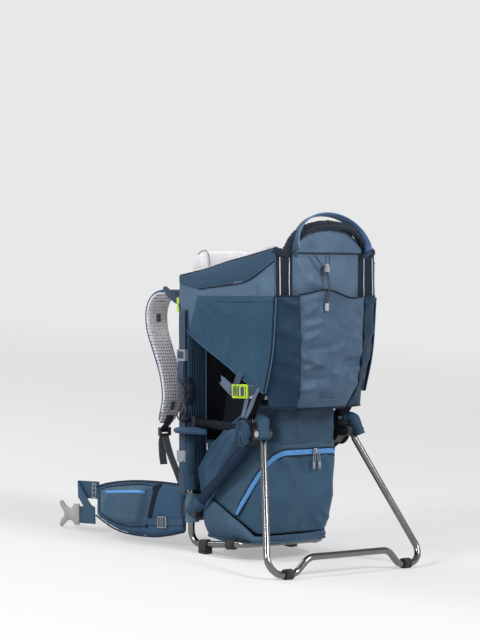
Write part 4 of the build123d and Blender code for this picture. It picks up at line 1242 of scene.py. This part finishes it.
def frame_cloth():
    strut = [(-123, 43, 262), (-123.5, 80, 229), (-124.5, 140, 176), (-125, 196, 128)]
    pair("strut_sleeve", sleeve_wrinkles(smooth_path(strut), 12.0, 91), "pack", "navy_cloth")
    cuff = [(-125, 184, 139), (-125, 200, 125), (-126, 216, 114)]
    pair("strut_cuff", sleeve_wrinkles(smooth_path(cuff), 15.5, 93, amount=0.12), "pack", "denim_plain")
    low_cuff = [(-125, 218, 150), (-125, 218, 118), (-125, 216, 90)]
    pair("upright_cuff", sleeve_wrinkles(smooth_path(low_cuff), 14.0, 95), "pack", "slate")
    # The arm and hoop sleeves use the near-black cloth: their dark sleeves deepened into painted shade of
    # the interior.
    arm = [(-123, 46, 292), (-124, 120, 296), (-125, 200, 300)]
    pair("arm_sleeve", sleeve_wrinkles(smooth_path(arm), 9.5, 97), "pack", "void")
    hoop = [(-123, 30, 312), (-123, 27, 334), (-121.5, -4, 372), (-119.5, -32, 408)]
    pair("hoop_sleeve", sleeve_wrinkles(smooth_path(hoop), 8.5, 99), "pack", "void")

    top = [(-125, 218, 536), (-125, 218, 556), (-118, 218, 577), (-102, 218, 588), (-60, 218, 590),
           (0, 218, 590)]
    whole = smooth_path(top + [(-x, y, z) for x, y, z in top[-2::-1]])
    piece("frame_top_sleeve", *sleeve_wrinkles(whole, 9.6, 137), "pack", "navy_cloth")
    outline = [(x, y) for x,
               y in ((-15, -9), (-17, 0), (-15, 9), (0, 10.5), (16, 8), (27, -6), (26, -13), (8, -12))]
    outline = smooth_path([(x, y, 0) for x, y in outline], 4, True)[:, :2]
    outline[:, 1] += 0.5 * np.sin(outline[:, 0] * 1.3)
    path = resample([(-125, 216, 168), (-125, 216, 330), (-125, 216, 536)], 3.0)
    pair("upright_sleeve", swept(path, (1, 0, 0), outline), "pack", "sleeve")
    edge = resample([(-98.5, 202, 170), (-98.5, 202, 534)], 4)
    pair("sleeve_piping", tube(edge, 1.6, side=(1, 0, 0)), "pack", "piping")

    side = patch([(-126, 176, 118), (-125, 158, 140), (-124, 122, 178), (-124, 66, 232), (-124, 36, 262)],
                 [(-122, 200, 200), (-124, 176, 228), (-126, 150, 255), (-128, 104, 290), (-130, 44, 326)],
                 50, 30, left=[(-126, 176, 118), (-124, 190, 160), (-122, 200, 200)],
                 right=[(-124, 36, 262), (-128, 38, 296), (-130, 44, 326)])
    side = raised(side, inner(side, 0, 0.25) * (7 + lumps(side, 30, 101, 3.0)) + folds_on(side, [
        ((50, 300), (150, 170), 9, 4.0), ((80, 290), (168, 200), 7, 2.6), ((44, 280), (120, 180), 6, -2.2)]))
    pair("side_gusset", sheet_mesh(side, 2.2, True), "pack", "denim_plain")
    pair("gusset_binding", tube(smooth_path(side[:, -1, :][::5]), 1.5), "pack", "piping")

    pair("hinge_cap", gathered_cap((-137, 38, 284), (14, 23, 30)), "pack", "denim_plain")
    cord = [(-139 - 3 * sin(a), 38 + 23.5 * cos(a), 284 + 30 * sin(a)) for a in np.linspace(0, 2 * pi, 40)]
    pair("hinge_cap_edge", scrunched(cord, 2.2, 107, 0.25, 4.0, 1.5), "pack", "ink")
    leg = [(-119, 8, 312), (-125, -4, 310), (-131, -12, 296), (-136, -20, 274)]
    pair("leg_cap", scrunched(smooth_path(leg), 11.0, 109, 0.12, 19.0, 1.6, (1.0, 1.1)), "kickstand",
         "denim_plain")


def gathered_cap(centre, radii, pleats=13, rings=16, around=96):
    """A round pouch of cloth whose pleats fan out from its upper end, with a drawn hem."""
    verts = []
    for i in range(rings):
        r = (i + 0.5) / rings
        for k in range(around):
            a = 2 * pi * k / around
            y, z = r * cos(a), r * sin(a)
            fan = atan2(y, 1.15 - z)
            pleat = (sin(fan * pleats * 1.6) + 0.6 * sin(fan * pleats * 2.7 + 1)) * 0.16 * ease(r, 0.05, 0.5)
            depth = np.sqrt(max(0.0, 1 - r ** 2.6)) + pleat
            verts.append((centre[0] - radii[0] * depth, centre[1] + radii[1] * y, centre[2] + radii[2] * z))
    verts.append((centre[0] - radii[0], centre[1], centre[2]))
    verts.append((centre[0] + 5, centre[1], centre[2]))
    faces = grid_faces(rings, around, wrap_cols=True)
    hub, back, outer = len(verts) - 2, len(verts) - 1, (rings - 1) * around
    faces += [(hub, k, (k + 1) % around) for k in range(around)]
    faces += [(back, outer + (k + 1) % around, outer + k) for k in range(around)]
    return np.array(verts), faces


# ---- foot supports -------------------------------------------------------------------------------
def foot_supports():
    path = [(-146.8, 222, 534), (-147.4, 222, 500), (-146.6, 222, 452), (-146.6, 222, 428),
            (-147.6, 223, 390),
            (-146.6, 222, 340), (-146.8, 222, 292), (-146.8, 222, 276), (-147.6, 221, 250),
            (-146.8, 222, 238),
            (-146.8, 222, 216), (-148, 222, 184), (-146.8, 222, 152)]
    left = strap(smooth_path(path), 20, 1.6, (0, 1, 0))
    pair("foot_strap", left, "pack", "strap_blue", node="foot_straps")
    loop = [(-149.5, 222, 452), (-151.5, 223, 440), (-150, 223, 430), (-150.5, 224, 404), (-149.4, 224, 384)]
    pair("foot_strap_tail", strap(smooth_path(loop), 19, 1.5, (0, 1, 0.05)), "pack", "strap_blue")
    tacks = [stitches([(-148.9, 213, z), (-148.9, 231, z)], (-0.4, 0, 0)) for z in (384, 388, 392, 508, 512)]
    pair("foot_strap_tacks", join(tacks), "pack", "thread")
    cords = []
    for k in range(3):
        wobble = [(-149 - 3 * sin(k + i), 214 + 7 * k + 5 * sin(i * 2.1 + k),
                   392 - i * 13) for i in range(8)]
        cords.append(tube(smooth_path(wobble), 1.6, 2.0))
    pair("foot_elastic", join(cords), "pack", "cord")
    crumple = scrunched(smooth_path([(-139, 214, 392), (-137, 208, 360), (-138, 216, 330),
                                     (-139, 214, 300)]), 8.5,
                        111, 0.22, 17.0, 1.6, (1.0, 1.3), 26)
    pair("foot_gather", crumple, "pack", "ink")
    lower = scrunched(smooth_path([(-136, 214, 272), (-135, 211, 236), (-137, 214, 200), (-134, 212, 158)]),
                      8.5,
                      113, 0.17, 46.0, 2.0, (1.0, 1.7), 26)
    pair("lower_gather", lower, "pack", "denim_plain")

    grid = surface(np.linspace(0, 1, 44), np.linspace(0, 1, 20), lambda u, v: (
        -142 - 34 * np.sin(pi * np.clip(u, 0.02, 0.98)) ** 0.55 * v, 147 + 94 * u,
        291 - 3.5 * (2 * u - 1) ** 2))
    shape = sheet_mesh(grid, 12.5, True)
    stuffed_pair("stirrup_pad", shape, "stirrup_{}", "stirrup", node="stirrup_{}", cap=0.003)
    rim = smooth_path(grid[::4, -1, :] + (-0.5, 0, -5.5))
    pair("stirrup_piping", tube(rim, 1.5), "stirrup_{}", "piping")


def side_straps():
    """The straps of the leg openings, through their lime buckles."""
    web = strap(smooth_path([(-147, 52, 380), (-146, 50, 392), (-144, 44, 404), (-142, 40, 412)]), 18, 1.5,
                (0, 1, 0.2))
    pair("side_strap_top", web, "pack", "strap_blue")
    web = strap(smooth_path([(-146, 30, 369), (-145, 22, 366), (-143, 8, 372), (-141, -10, 380),
                             (-139, -22, 388)]),
                18, 1.5, (0, 0.3, 1))
    pair("side_strap_back", web, "side_buckle_{}", "strap_blue")
    for name, body, y, node in (("socket", "pack", 53, "side_buckle_sockets"),
                                ("tongue", "side_buckle_{}", 30, None)):
        made = pair(f"lime_{name}", ladder_lock((-146, y, 369), (0, 1, 0), (0, 0, 1), (-1, 0, 0),
                                                24 if y > 40 else 20, 25, 4.0), body, "lime")
        for obj, side in zip(made, ("left", "right")):
            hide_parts(node or f"side_buckle_{side}")
    web = strap([(-145.5, 64, 369), (-147.5, 50, 369), (-147.5, 34, 369), (-145.5, 22, 368)], 17, 1.5,
                (0, 0, 1))
    pair("side_strap_tongue", web, "side_buckle_{}", "strap_blue")
    loop = [(-147, 66, 372), (-149, 78, 380), (-150, 90, 388), (-147, 98, 392), (-144, 90, 382),
            (-144, 78, 372),
            (-146, 68, 366)]
    pair("side_strap_loop", strap(smooth_path(loop), 17, 1.5, (0.1, 0.3, 1)), "pack", "strap_pale")
    vee = [[(-141, 10, 392), (-143, 22, 362), (-142, 34, 330), (-141, 42, 312)],
           [(-141, -14, 388), (-143, 2, 360), (-142, 20, 330), (-141, 36, 314)]]
    shape = join([strap(smooth_path(v), 13, 1.4, (0.2, 1, 0.4)) for v in vee])
    pair("side_vee_straps", shape, "pack", "strap_pale")


# ---- hip belt ------------------------------------------------------------------------------------
WING_ROOT = np.array((-118.0, 236.0, 0.0))
WING_TIP = np.array((-190.0, 455.0, 0.0))
WING_ALONG = unit(WING_TIP - WING_ROOT)
WING_OUT = np.array((-WING_ALONG[1], WING_ALONG[0], 0.0))
BELT_ANGLE = atan2(72, 219) - radians(8)
BELT_ALONG = np.array((-sin(BELT_ANGLE), cos(BELT_ANGLE), 0.0))
BELT_OUT = np.array((-BELT_ALONG[1], BELT_ALONG[0], 0.0))


def on_wing(points):
    """(along, z, out) to the left wing's place."""
    p = np.array(points, dtype=float)
    return WING_ROOT + p[:, :1] * WING_ALONG + p[:, 2:] * WING_OUT + np.outer(p[:, 1], (0, 0, 1))


def on_belt(points):
    p = np.array(points, dtype=float)
    return WING_TIP + p[:, :1] * BELT_ALONG + p[:, 2:] * BELT_OUT + np.outer(p[:, 1], (0, 0, 1))


def hip_belt():
    low = on_wing([(5, 68, 8), (40, 60, 8), (80, 55, 8), (130, 57, 8), (172, 65, 7), (205, 80, 5),
                   (229, 94, 3)])
    top = on_wing([(5, 167, 8), (60, 171, 8), (110, 172, 8), (150, 170, 7), (195, 164, 5), (229, 155, 3)])
    grid = patch(low, top, 70, 34)
    shape = sheet_mesh(raised(grid, inner(grid, 0, 0.2) * 1.5), 14.0, False)
    stuffed_pair("hip_wing_pad", shape, "wing_{}", "denim_deep", node="hip_wing_{}", cap=0.004)
    for line, name in ((low, "low"), (top, "top")):
        pair(f"wing_binding_{name}", tube(smooth_path(line) + WING_OUT * 0.5, 1.8), "wing_{}", "navy_cloth")

    low = on_wing([(100, 76, 11), (134, 73, 11), (172, 80, 11), (200, 92, 11), (215, 104, 10)])
    top = on_wing([(78, 162, 11), (110, 165, 11), (150, 162, 11), (190, 157, 11), (215, 149, 10)])
    grid = patch(low, top, 64, 40)
    dome = ease(inner(grid, 0, 0.22), 0, 1) ** 0.6
    push = dome * (15 + lumps(grid, 34, 117, 1.6)) + folds_on(grid, [
        ((300, 84), (380, 96), 8, 1.4), ((400, 150), (420, 110), 7, 1.4), ((320, 150), (360, 156), 6, 1.0)])
    grid = grid + WING_OUT * push[..., None]
    pair("hip_pocket_cloth", sheet_mesh(grid, 1.6, False), "wing_{}", "pocket_ripstop",
         node="hip_pocket_{}")
    line = grid[6:52, 33, :] + WING_OUT * 0.9
    pair("hip_zip_tape", swept(smooth_path(line[::4]), (0, 0, 1), flat_outline(7, 1.2, 4)), "wing_{}",
         "zip_tape")
    pair("hip_zip_teeth", tube(smooth_path(line[::4]) + WING_OUT * 0.7, 1.2), "wing_{}", "zip_teeth")
    rear = patch(on_wing([(88, 70, 9), (102, 76, 12)]), on_wing([(60, 168, 9), (80, 162, 12)]), 10, 30,
                 left=on_wing([(88, 70, 9), (60, 168, 9)]), right=on_wing([(102, 76, 12), (80, 162, 12)]))
    rear = rear + WING_OUT * (lumps(rear, 18, 119, 1.2) + 2.5 * inner(rear, 0, 0.3))[..., None]
    pair("hip_pocket_gusset", sheet_mesh(rear, 1.6, False), "wing_{}", "ink")
    pair("hip_pocket_piping", tube(smooth_path(grid[0, ::4, :]), 1.5), "wing_{}", "piping")
    border = np.concatenate([grid[::5, 0, :], grid[-1, ::5, :], grid[::-5, -1, :]])
    pair("hip_pocket_seam", tube(smooth_path(border), 1.1), "wing_{}", "navy_cloth")

    strap_line = smooth_path(on_wing([(100, 88, 12), (80, 87, 13.5), (60, 87, 13.5), (30, 88, 12.5),
                                      (6, 89, 11)]))
    pair("compression_strap", strap(strap_line, 14, 1.5, (0, 0, 1)), "wing_{}", "belt_web")
    pair("compression_lock",
         ladder_lock(on_wing([(56, 87, 15)])[0], WING_ALONG, (0, 0, 1), WING_OUT, 20, 22),
         "wing_{}", "silver")

    # stations along the webbing: (along, z, out) of its lower edge, then of its upper edge
    stations = [((-6, 129, -2.2), (-6, 165, -2.2)), ((20, 129, -3.2), (20, 165, -3.2)),
                ((44, 130, -3.0), (44, 165, -3.0)), ((49.5, 130, -0.4), (49.5, 165, -0.4)),
                ((44, 127, 2.8), (47, 163, 2.8)), ((26, 104, 3.8), (30, 141, 3.8)),
                ((8, 80, 3.0), (12, 117, 3.0)), ((2.5, 75, 1.2), (4.5, 111, 1.2)),
                ((9, 75, -0.8), (9, 110.5, -0.8)), ((30, 75, -0.2), (30, 110.5, -0.2)),
                ((47, 75.5, 0.2), (47, 110, 0.2))]
    low = smooth_path([a for a, b in stations], 10)
    high = smooth_path([b for a, b in stations], 10)
    web = np.stack([on_belt(low + (high - low) * k) for k in np.linspace(0, 1, 14)], 1)
    pair("belt_webbing", sheet_mesh(web, 1.7, False), "belt_{}", "belt_web", node="belt_strap_{}")
    hem = [stitches(on_belt([(s, 128, 3.6), (s, 165, 3.6)]), BELT_OUT * 0.4) for s in (6, 9)]
    pair("belt_stitching", join(hem), "belt_{}", "thread")
    half = [(47.5, -20), (60, -20), (68, -14), (78, -13), (88, -19), (97, -28), (101, -27), (102, -22),
            (98, -13),
            (91, -6)]
    tail = half + [(89, 0)] + [(x, -z) for x, z in half[::-1]]
    tail = smooth_path([(x, z, 0) for x, z in tail], 3, True)[:, :2]
    fork = moulding(tail, 7.0, 1.2, lambda p: on_belt(np.column_stack([p[:, 0], 93 + p[:, 1], p[:, 2]])))
    obj = piece("fork_buckle", *fork, "buckle_left", "grey")
    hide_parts("belt_buckle_male")
    frame_bar = ladder_lock(on_belt([(54, 93, 1.5)])[0], BELT_ALONG, (0, 0, 1), BELT_OUT, 12, 42, 3.6)
    piece("fork_frame", *frame_bar, "buckle_left", "grey")
    half = [(47.5, -22), (56, -25), (72, -27), (90, -27), (98, -24), (98, -12), (91, -9)]
    hull = smooth_path([(x, z, 0) for x, z in half + [(x, -z) for x, z in half[::-1]]], 4, True)[:, :2]
    shells = []
    for middle in (-4.0, 4.0):
        shells.append(moulding(hull, 2.6, 0.8, lambda p: on_belt(np.column_stack([p[:, 0], 93 + p[:, 1],
                                                                                  p[:, 2] + middle]))))
    for z in (-26, 26):
        rail = on_belt([(50, 93 + z * 0.9, 0), (60, 93 + z, 0), (92, 93 + z * 0.98, 0)])
        shells.append(swept(resample(rail, 3), (0, 0, 1), round_outline(1.6, 12) * (1, 3.2)))
    for s in (54, 58, 62):
        shells.append(swept(on_belt([(s, 80, 5.6), (s, 93, 6.0), (s, 106, 5.6)]), (0, 0, 1),
                            round_outline(0.8, 8)))
    shells.append(swept(on_belt([(49, 72, 0), (49, 93, 0), (49, 114, 0)]), (0, 1, 0),
                        round_outline(2.4, 12) * (1, 2)))
    obj = piece("socket_buckle", *mirrored(join(shells), -1), "buckle_right", "grey")
    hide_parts("belt_buckle_female")
    clip = ladder_lock(on_belt([(1, 146, 5.0)])[0], (0, 0, 1), BELT_ALONG, BELT_OUT, 30, 9, 2.6)
    pair("belt_keeper", clip, "belt_{}", "silver")


def moulding(outline, thick, bevel, place):
    """A flat moulded piece of any outline with eased edges; place turns (x, y, out) into its spot."""
    outline = np.array(outline, dtype=float)
    ahead = unit(np.roll(outline, -1, axis=0) - np.roll(outline, 1, axis=0))
    inward = np.stack([-ahead[:, 1], ahead[:, 0]], 1)
    n = len(outline)
    rings = []
    for inset, out in ((bevel, -thick / 2), (0, -thick / 2 + bevel), (0, thick / 2 - bevel),
                       (bevel, thick / 2)):
        ring = outline + inward * inset
        rings.append(np.column_stack([ring, np.full(n, out)]))
    faces = grid_faces(4, n, wrap_cols=True)
    faces += [tuple(range(n - 1, -1, -1)), tuple(range(3 * n, 4 * n))]
    return place(np.concatenate(rings)), faces


def ladder_lock(at, along, across, out, length, width, bar_size=3.2):
    """A moulded ladder lock: a frame with two slots, a raised thumb bar and a middle bar."""
    along, across, out = (np.array(v, dtype=float) for v in (along, across, out))
    parts = []
    half_l, half_w = length / 2, width / 2

    def beam(a, b, size=bar_size, lift=0.0):
        path = resample([at + along * a[0] + across * a[1] + out * lift, at + along * b[0] + across * b[1]
                         + out * lift], 3.0)
        return swept(path, out, round_outline(size / 2, 8))

    corners = [(-half_l, -half_w), (half_l, -half_w), (half_l, half_w), (-half_l, half_w)]
    for a, b in zip(corners, corners[1:] + corners[:1]):
        parts.append(beam(a, b))
    parts.append(beam((-half_l * 0.25, -half_w), (-half_l * 0.25, half_w), bar_size * 0.85, 0.8))
    parts.append(beam((half_l * 0.4, -half_w), (half_l * 0.4, half_w), bar_size * 0.85, -0.4))
    parts.append(beam((-half_l, -half_w * 0.8), (-half_l, half_w * 0.8), bar_size * 1.4, 0.8))
    return join(parts)


# ---- shoulder straps -----------------------------------------------------------------------------
STRAP_ROUTE = [(-88, 259, 508), (-88, 262, 545), (-90, 286, 566), (-92, 320, 571), (-93, 350, 561),
               (-92, 368, 532),
               (-91, 367, 492), (-90, 348, 445), (-90, 327, 395), (-90, 321, 350), (-90, 330, 316),
               (-90, 342, 293)]


def stretching(name, shape, look, node, ends):
    """Webbing on both sides, baked in place on no body; the ends are not used."""
    start, finish = row(ends)
    for side, sign in SIDES:
        obj = piece(f"{name}_{side}", *mirrored(shape, sign), None, look)
        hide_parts(node)
        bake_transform(obj)


def shoulder_straps():
    path = resample(smooth_path(STRAP_ROUTE, 10), 3.0)
    n = len(path)
    run = np.linspace(0, 1, n)
    width = np.interp(run, (0, 0.06, 0.35, 0.75, 0.95, 1), (0.7, 0.86, 1.0, 0.92, 0.8, 0.62))
    thick = np.interp(run, (0, 0.03, 0.97, 1), (0.5, 1.0, 1.0, 0.45))
    a = np.linspace(0, 2 * pi, 32, endpoint=False)
    outline = np.stack([29 * np.sign(np.cos(a)) * np.abs(np.cos(a)) ** 0.55,
                        5.2 * np.sign(np.sin(a)) * np.abs(np.sin(a)) ** 0.7], 1)
    verts, faces = swept(path, (1, 0, 0), outline, np.stack([width, thick], 1))
    verts[:-2] += noise(verts[:-2], 26, 121)[:, None] * (0.3, 0.5, 0.4)
    left = piece("shoulder_pad_left", verts, faces, "yoke", "pale_mesh")
    right = twin(left, "shoulder_pad_right", "yoke")
    for obj, side in ((left, "left"), (right, "right")):
        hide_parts(f"shoulder_strap_{side}")
    _, s, f = frames_along(path, (1, 0, 0))
    cover = path - f * (4.9 * thick)[:, None]
    pair("shoulder_cover", swept(cover, (1, 0, 0), flat_outline(55, 2.4), np.stack([width, thick], 1)),
         "yoke",
         "denim_plain", "navy_fabric")
    edges = []
    for way in (-1, 1):
        line = path + s * (28.6 * width * way)[:, None] - f * (2.6 * thick)[:, None]
        edges.append(tube(line[2:-2], 1.7, side=(1, 0, 0)))
    pair("shoulder_piping", join(edges), "yoke", "piping")
    tabs = []
    for at in (0.44, 0.9):
        i = int(at * n)
        bit = path[i - 3:i + 4] + f[i - 3:i + 4] * 5.6
        tabs.append(swept(bit, (1, 0, 0), flat_outline(12, 1.2, 4)))
    pair("shoulder_tabs", join(tabs), "yoke", "grey_web")
    end = path[-8:] + f[-8:] * 5.6
    anchor = swept(np.concatenate([end, [(-90, 346, 283), (-90, 347, 276)]]), (1, 0, 0),
                   flat_outline(20, 1.8))
    pair("strap_anchor", anchor, "yoke", "black_web")

    lifter = smooth_path([(-130, 246, 552), (-129, 262, 556), (-124, 288, 567), (-116, 312, 576),
                          (-104, 334, 575)])
    stretching("load_lifter", strap(lifter, 16, 1.6, (0.3, 0.3, 1)), "strap_dark", "load_lifters",
               [(-130, 250, 551), (-106, 330, 574)])
    low = smooth_path([(-102, 257, 126), (-100, 266, 142), (-96, 296, 186), (-93, 324, 226), (-90, 341, 258),
                       (-90, 345, 270)], 10)
    stretching("lower_webbing", strap(low, 20, 1.8, (1, 0.1, 0)), "grey_web", "lower_webbing",
               [(-102, 257, 132), (-90, 343, 262)])
    pair("webbing_tail",
         strap(smooth_path([(-90, 350, 268), (-91, 353, 250), (-92, 350, 222), (-92, 346, 204)]), 20,
                               1.6, (1, 0, 0)), "yoke", "grey_web")
    sternum = strap([(-57, 331, 366), (-40, 331.6, 366), (-24, 331, 366)], 19, 1.8, (0, 0, 1), 2.0)
    clip = bar((-58, 327, 352.5), (-52, 335, 379.5), 1.4)
    pair("sternum_web", join([sternum, clip]), "sternum_{}", "black_web", node="sternum_strap_{}")


# ---- back pads, seat and harness -----------------------------------------------------------------
def cushions():
    grid = patch([(-46, 231, 254), (-104, 231, 254)], [(-46, 231, 484), (-104, 231, 484)], 24, 70,
                 left=[(-46, 231, 254), (-43, 231, 370), (-46, 231, 484)],
                 right=[(-104, 231, 254), (-107, 231, 370), (-104, 231, 484)])
    front = grid + (0, 13, 0)
    channels = 2.2 * np.abs(np.sin((front[..., 2] - 250) / 234 * 5 * pi)) ** 0.4
    front[..., 1] += channels * inner(front, 0, 0.2)
    shape = sheet_mesh(front, 12.0, False)
    stuffed_pair("back_pad", shape, "pack", "black_mesh", node="back_pads", cap=0.003)
    grid = patch([(-94, 252, 94), (0, 252, 92), (94, 252, 94)],
                 [(-84, 252, 234), (0, 252, 235), (84, 252, 234)], 60, 44,
                 left=[(-94, 252, 94), (-97, 252, 160), (-84, 252, 234)],
                 right=[(94, 252, 94), (97, 252, 160), (84, 252, 234)])
    grid[..., 1] += inner(grid, 0, 0.2) * 2.0 * np.abs(np.sin(grid[..., 0] / 194 * 4 * pi + pi / 2)) ** 0.5
    stuffed("lumbar_cushion", sheet_mesh(grid, 19.0), "pack", "black_mesh", "lumbar_pad", 0.004)

    section = [(196, 603), (230, 603), (236, 622), (229, 648), (208, 656), (196, 640)]
    outline = smooth_path([(0, y - 216, z - 628) for y, z in section], 5, True)[:, 1:]
    path = resample([(-114, 216, 628), (0, 217, 631), (114, 216, 628)], 4)
    swell = 1 - 0.35 * np.abs(np.linspace(-1, 1, len(path))) ** 8
    shape = swept(path, (0, 1, 0), outline, swell)
    stuffed("head_pad_fleece", shape, "pack", "fleece", "head_pad", 0.006)
    seams = []
    for x in (-96, 96):
        ring = np.array([(x, 216 + 1.06 * a, 629 + 1.06 * b) for a, b in outline])
        seams.append(swept(np.concatenate([ring, ring[:2]]), (1, 0, 0), round_outline(0.9, 6)))
    piece("head_pad_seams", *join(seams), "pack", "ink")

    grid = patch([(-66, -4, 361), (-60, 60, 361), (-42, 112, 361), (-44, 186, 361)],
                 [(66, -4, 361), (60, 60, 361), (42, 112, 361), (44, 186, 361)], 50, 32)
    stuffed("seat_cushion", sheet_mesh(grid, 9.0), "seat", "lining", "seat_pan", 0.003)

    grid = patch([(113, 203, 258), (-113, 203, 258)], [(113, 203, 572), (-113, 203, 572)], 50, 60)
    grid = raised(grid, inner(grid) * lumps(grid, 40, 127, 2.5))
    # The cockpit's front wall uses the near-black cloth: its own dark cloth deepened into painted shade.
    obj = piece("cockpit_front_wall", *sheet_mesh(grid, 8.0, False), "pack", "void")
    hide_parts("cockpit_front")

    # Near-black sheets under each side of the seat: painted shade of the dark interior seen through the leg
    # openings, covering the seat and crossbar.
    shade_sheet = patch([(-64, -6, 352), (-40, 110, 352), (-46, 198, 352)],
                  [(-64, -6, 268), (-60, 110, 266), (-60, 198, 266)], 40, 24,
                  left=[(-64, -6, 352), (-66, -6, 268)])
    shade_sheet = raised(shade_sheet, inner(shade_sheet, 0, 0.2) * lumps(shade_sheet, 26, 131, 4.0))
    pair("seat_shade_sheet", sheet_mesh(shade_sheet, 2.0, True), "pack", "void")
    bolster = patch([(-76, 20, 352), (-68, 80, 352), (-56, 120, 353)],
                    [(-82, 24, 396), (-76, 80, 388), (-62, 118, 372)], 30, 14)
    stuffed_pair("seat_bolster", sheet_mesh(bolster, 8.0, True), "seat", "fleece", cap=0.003)
    rim = [(-125, 196, 585), (-126, 130, 600), (-126, 60, 614), (-126, -10, 628), (-122, -44, 636)]
    outline = smooth_path([(0, 34, 0), (0, 30, 6), (0, -26, 6), (0, -34, 0), (0, -26, -6), (0, 30, -6)], 5,
                          True)[:, 1:]
    path = resample(smooth_path(rim), 4.0)
    shape = swept(path, (0, 0, 1), outline)
    stuffed_pair("collar_fleece", shape, "pack", "fleece_grey", cap=0.004)

    path = smooth_path([(-36, -45.5, 612), (-37, -42, 570), (-36, -41, 520), (-34, -43, 470),
                        (-30, -44, 446)])
    pair("harness_pad", strap(path, 28, 5.0, (1, 0, 0)), "pack", "fleece_dark", node="harness_straps")
    web = strap(smooth_path([(-30, -44, 450), (-22, -38, 428), (-14, -34, 424)]), 19, 1.6, (1, 0, 0.2))
    pair("harness_web", web, "pack", "black_web")


lower_bag()
frame_cloth()
foot_supports()
side_straps()
hip_belt()
shoulder_straps()
cushions()

# ---- camera, light and floor ---------------------------------------------------------------------
CAMERA_AT = (-3689, -3892, 555)      # upright millimetres
CAMERA_TURN = radians(42)            # from straight ahead towards the wearer's right
CAMERA_DIP = atan2(1.0, 130.0)
CAMERA_LENS = 146.25                 # mm on a 36 mm sensor
LIGHT_TARGET = Vector((0, 0, 0.36))


def add_camera():
    eye = Vector(row([CAMERA_AT])[0])
    level = Vector((sin(CAMERA_TURN), cos(CAMERA_TURN), 0))
    look = aim(level * cos(CAMERA_DIP) + Vector((0, 0, -sin(CAMERA_DIP))))
    up = aim(level * sin(CAMERA_DIP) + Vector((0, 0, cos(CAMERA_DIP))))
    side = look.cross(up).normalized()
    up = side.cross(look).normalized()
    cam = bpy.data.cameras.new("camera")
    cam.sensor_width = 36.0
    cam.lens = CAMERA_LENS
    cam.clip_end = 100.0
    obj = bpy.data.objects.new("camera", cam)
    turn = Matrix((side, up, -look)).transposed().to_4x4()
    obj.matrix_world = Matrix.Translation(eye) @ turn
    bpy.context.scene.collection.objects.link(obj)
    bpy.context.scene.camera = obj


def add_light(name, at, size, power):
    """A soft square light that looks at the middle of the pack."""
    lamp = bpy.data.lights.new(name, "AREA")
    lamp.shape = "SQUARE"
    lamp.size = size
    lamp.energy = power
    obj = bpy.data.objects.new(name, lamp)
    obj.location = at
    obj.rotation_euler = (LIGHT_TARGET - Vector(at)).to_track_quat("-Z", "Y").to_euler()
    bpy.context.scene.collection.objects.link(obj)


def add_floor():
    """A pale floor that curves up all round into a pale backdrop, so no edge shows."""
    mesh = bpy.data.meshes.new("floor")
    rings = [(0.01, 0.0), (3.0, 0.0), (7.0, 0.0)]
    rings += [(7.0 + 8.0 * sin(a), 8.0 * (1 - cos(a))) for a in np.linspace(0.05, pi / 2, 24)]
    around = np.linspace(0, 2 * pi, 96, endpoint=False)
    verts = [(r * cos(a), r * sin(a), z) for r, z in rings for a in around]
    mesh.from_pydata(verts, [], grid_faces(len(rings), len(around), wrap_cols=True))
    mesh.shade_smooth()
    floor = bpy.data.objects.new("floor", mesh)
    bpy.context.scene.collection.objects.link(floor)
    m = Nodes("floor", 0.9, specular=0.1)
    m.shader.inputs["Base Color"].default_value = (0.4, 0.4, 0.4, 1)
    m.shader.inputs["Emission Color"].default_value = (1, 1, 1, 1)
    away = m.node("VectorMath", {0: m.place}, "Value", operation="LENGTH")
    glow = m.node("MapRange",
                  {"Value": away, "From Min": 1.0, "From Max": 6.0, "To Min": 0.34, "To Max": 0.6},
                  "Result")
    m.link(glow, m.shader.inputs["Emission Strength"])
    mesh.materials.append(m.mat)


def add_world():
    world = bpy.data.worlds.new("studio")
    bpy.context.scene.world = world
    world.use_nodes = True
    back = world.node_tree.nodes["Background"]
    back.inputs["Color"].default_value = (0.93, 0.96, 1.0, 1)
    back.inputs["Strength"].default_value = 0.3
    bpy.context.scene.view_settings.view_transform = "Standard"


add_camera()
add_floor()
add_world()
add_light("key", (0.6, -2.8, 2.6), 1.0, 100)
add_light("side", (-3.0, -0.2, 2.4), 0.8, 80)
add_light("rim", (-0.8, 2.4, 2.6), 1.4, 44)
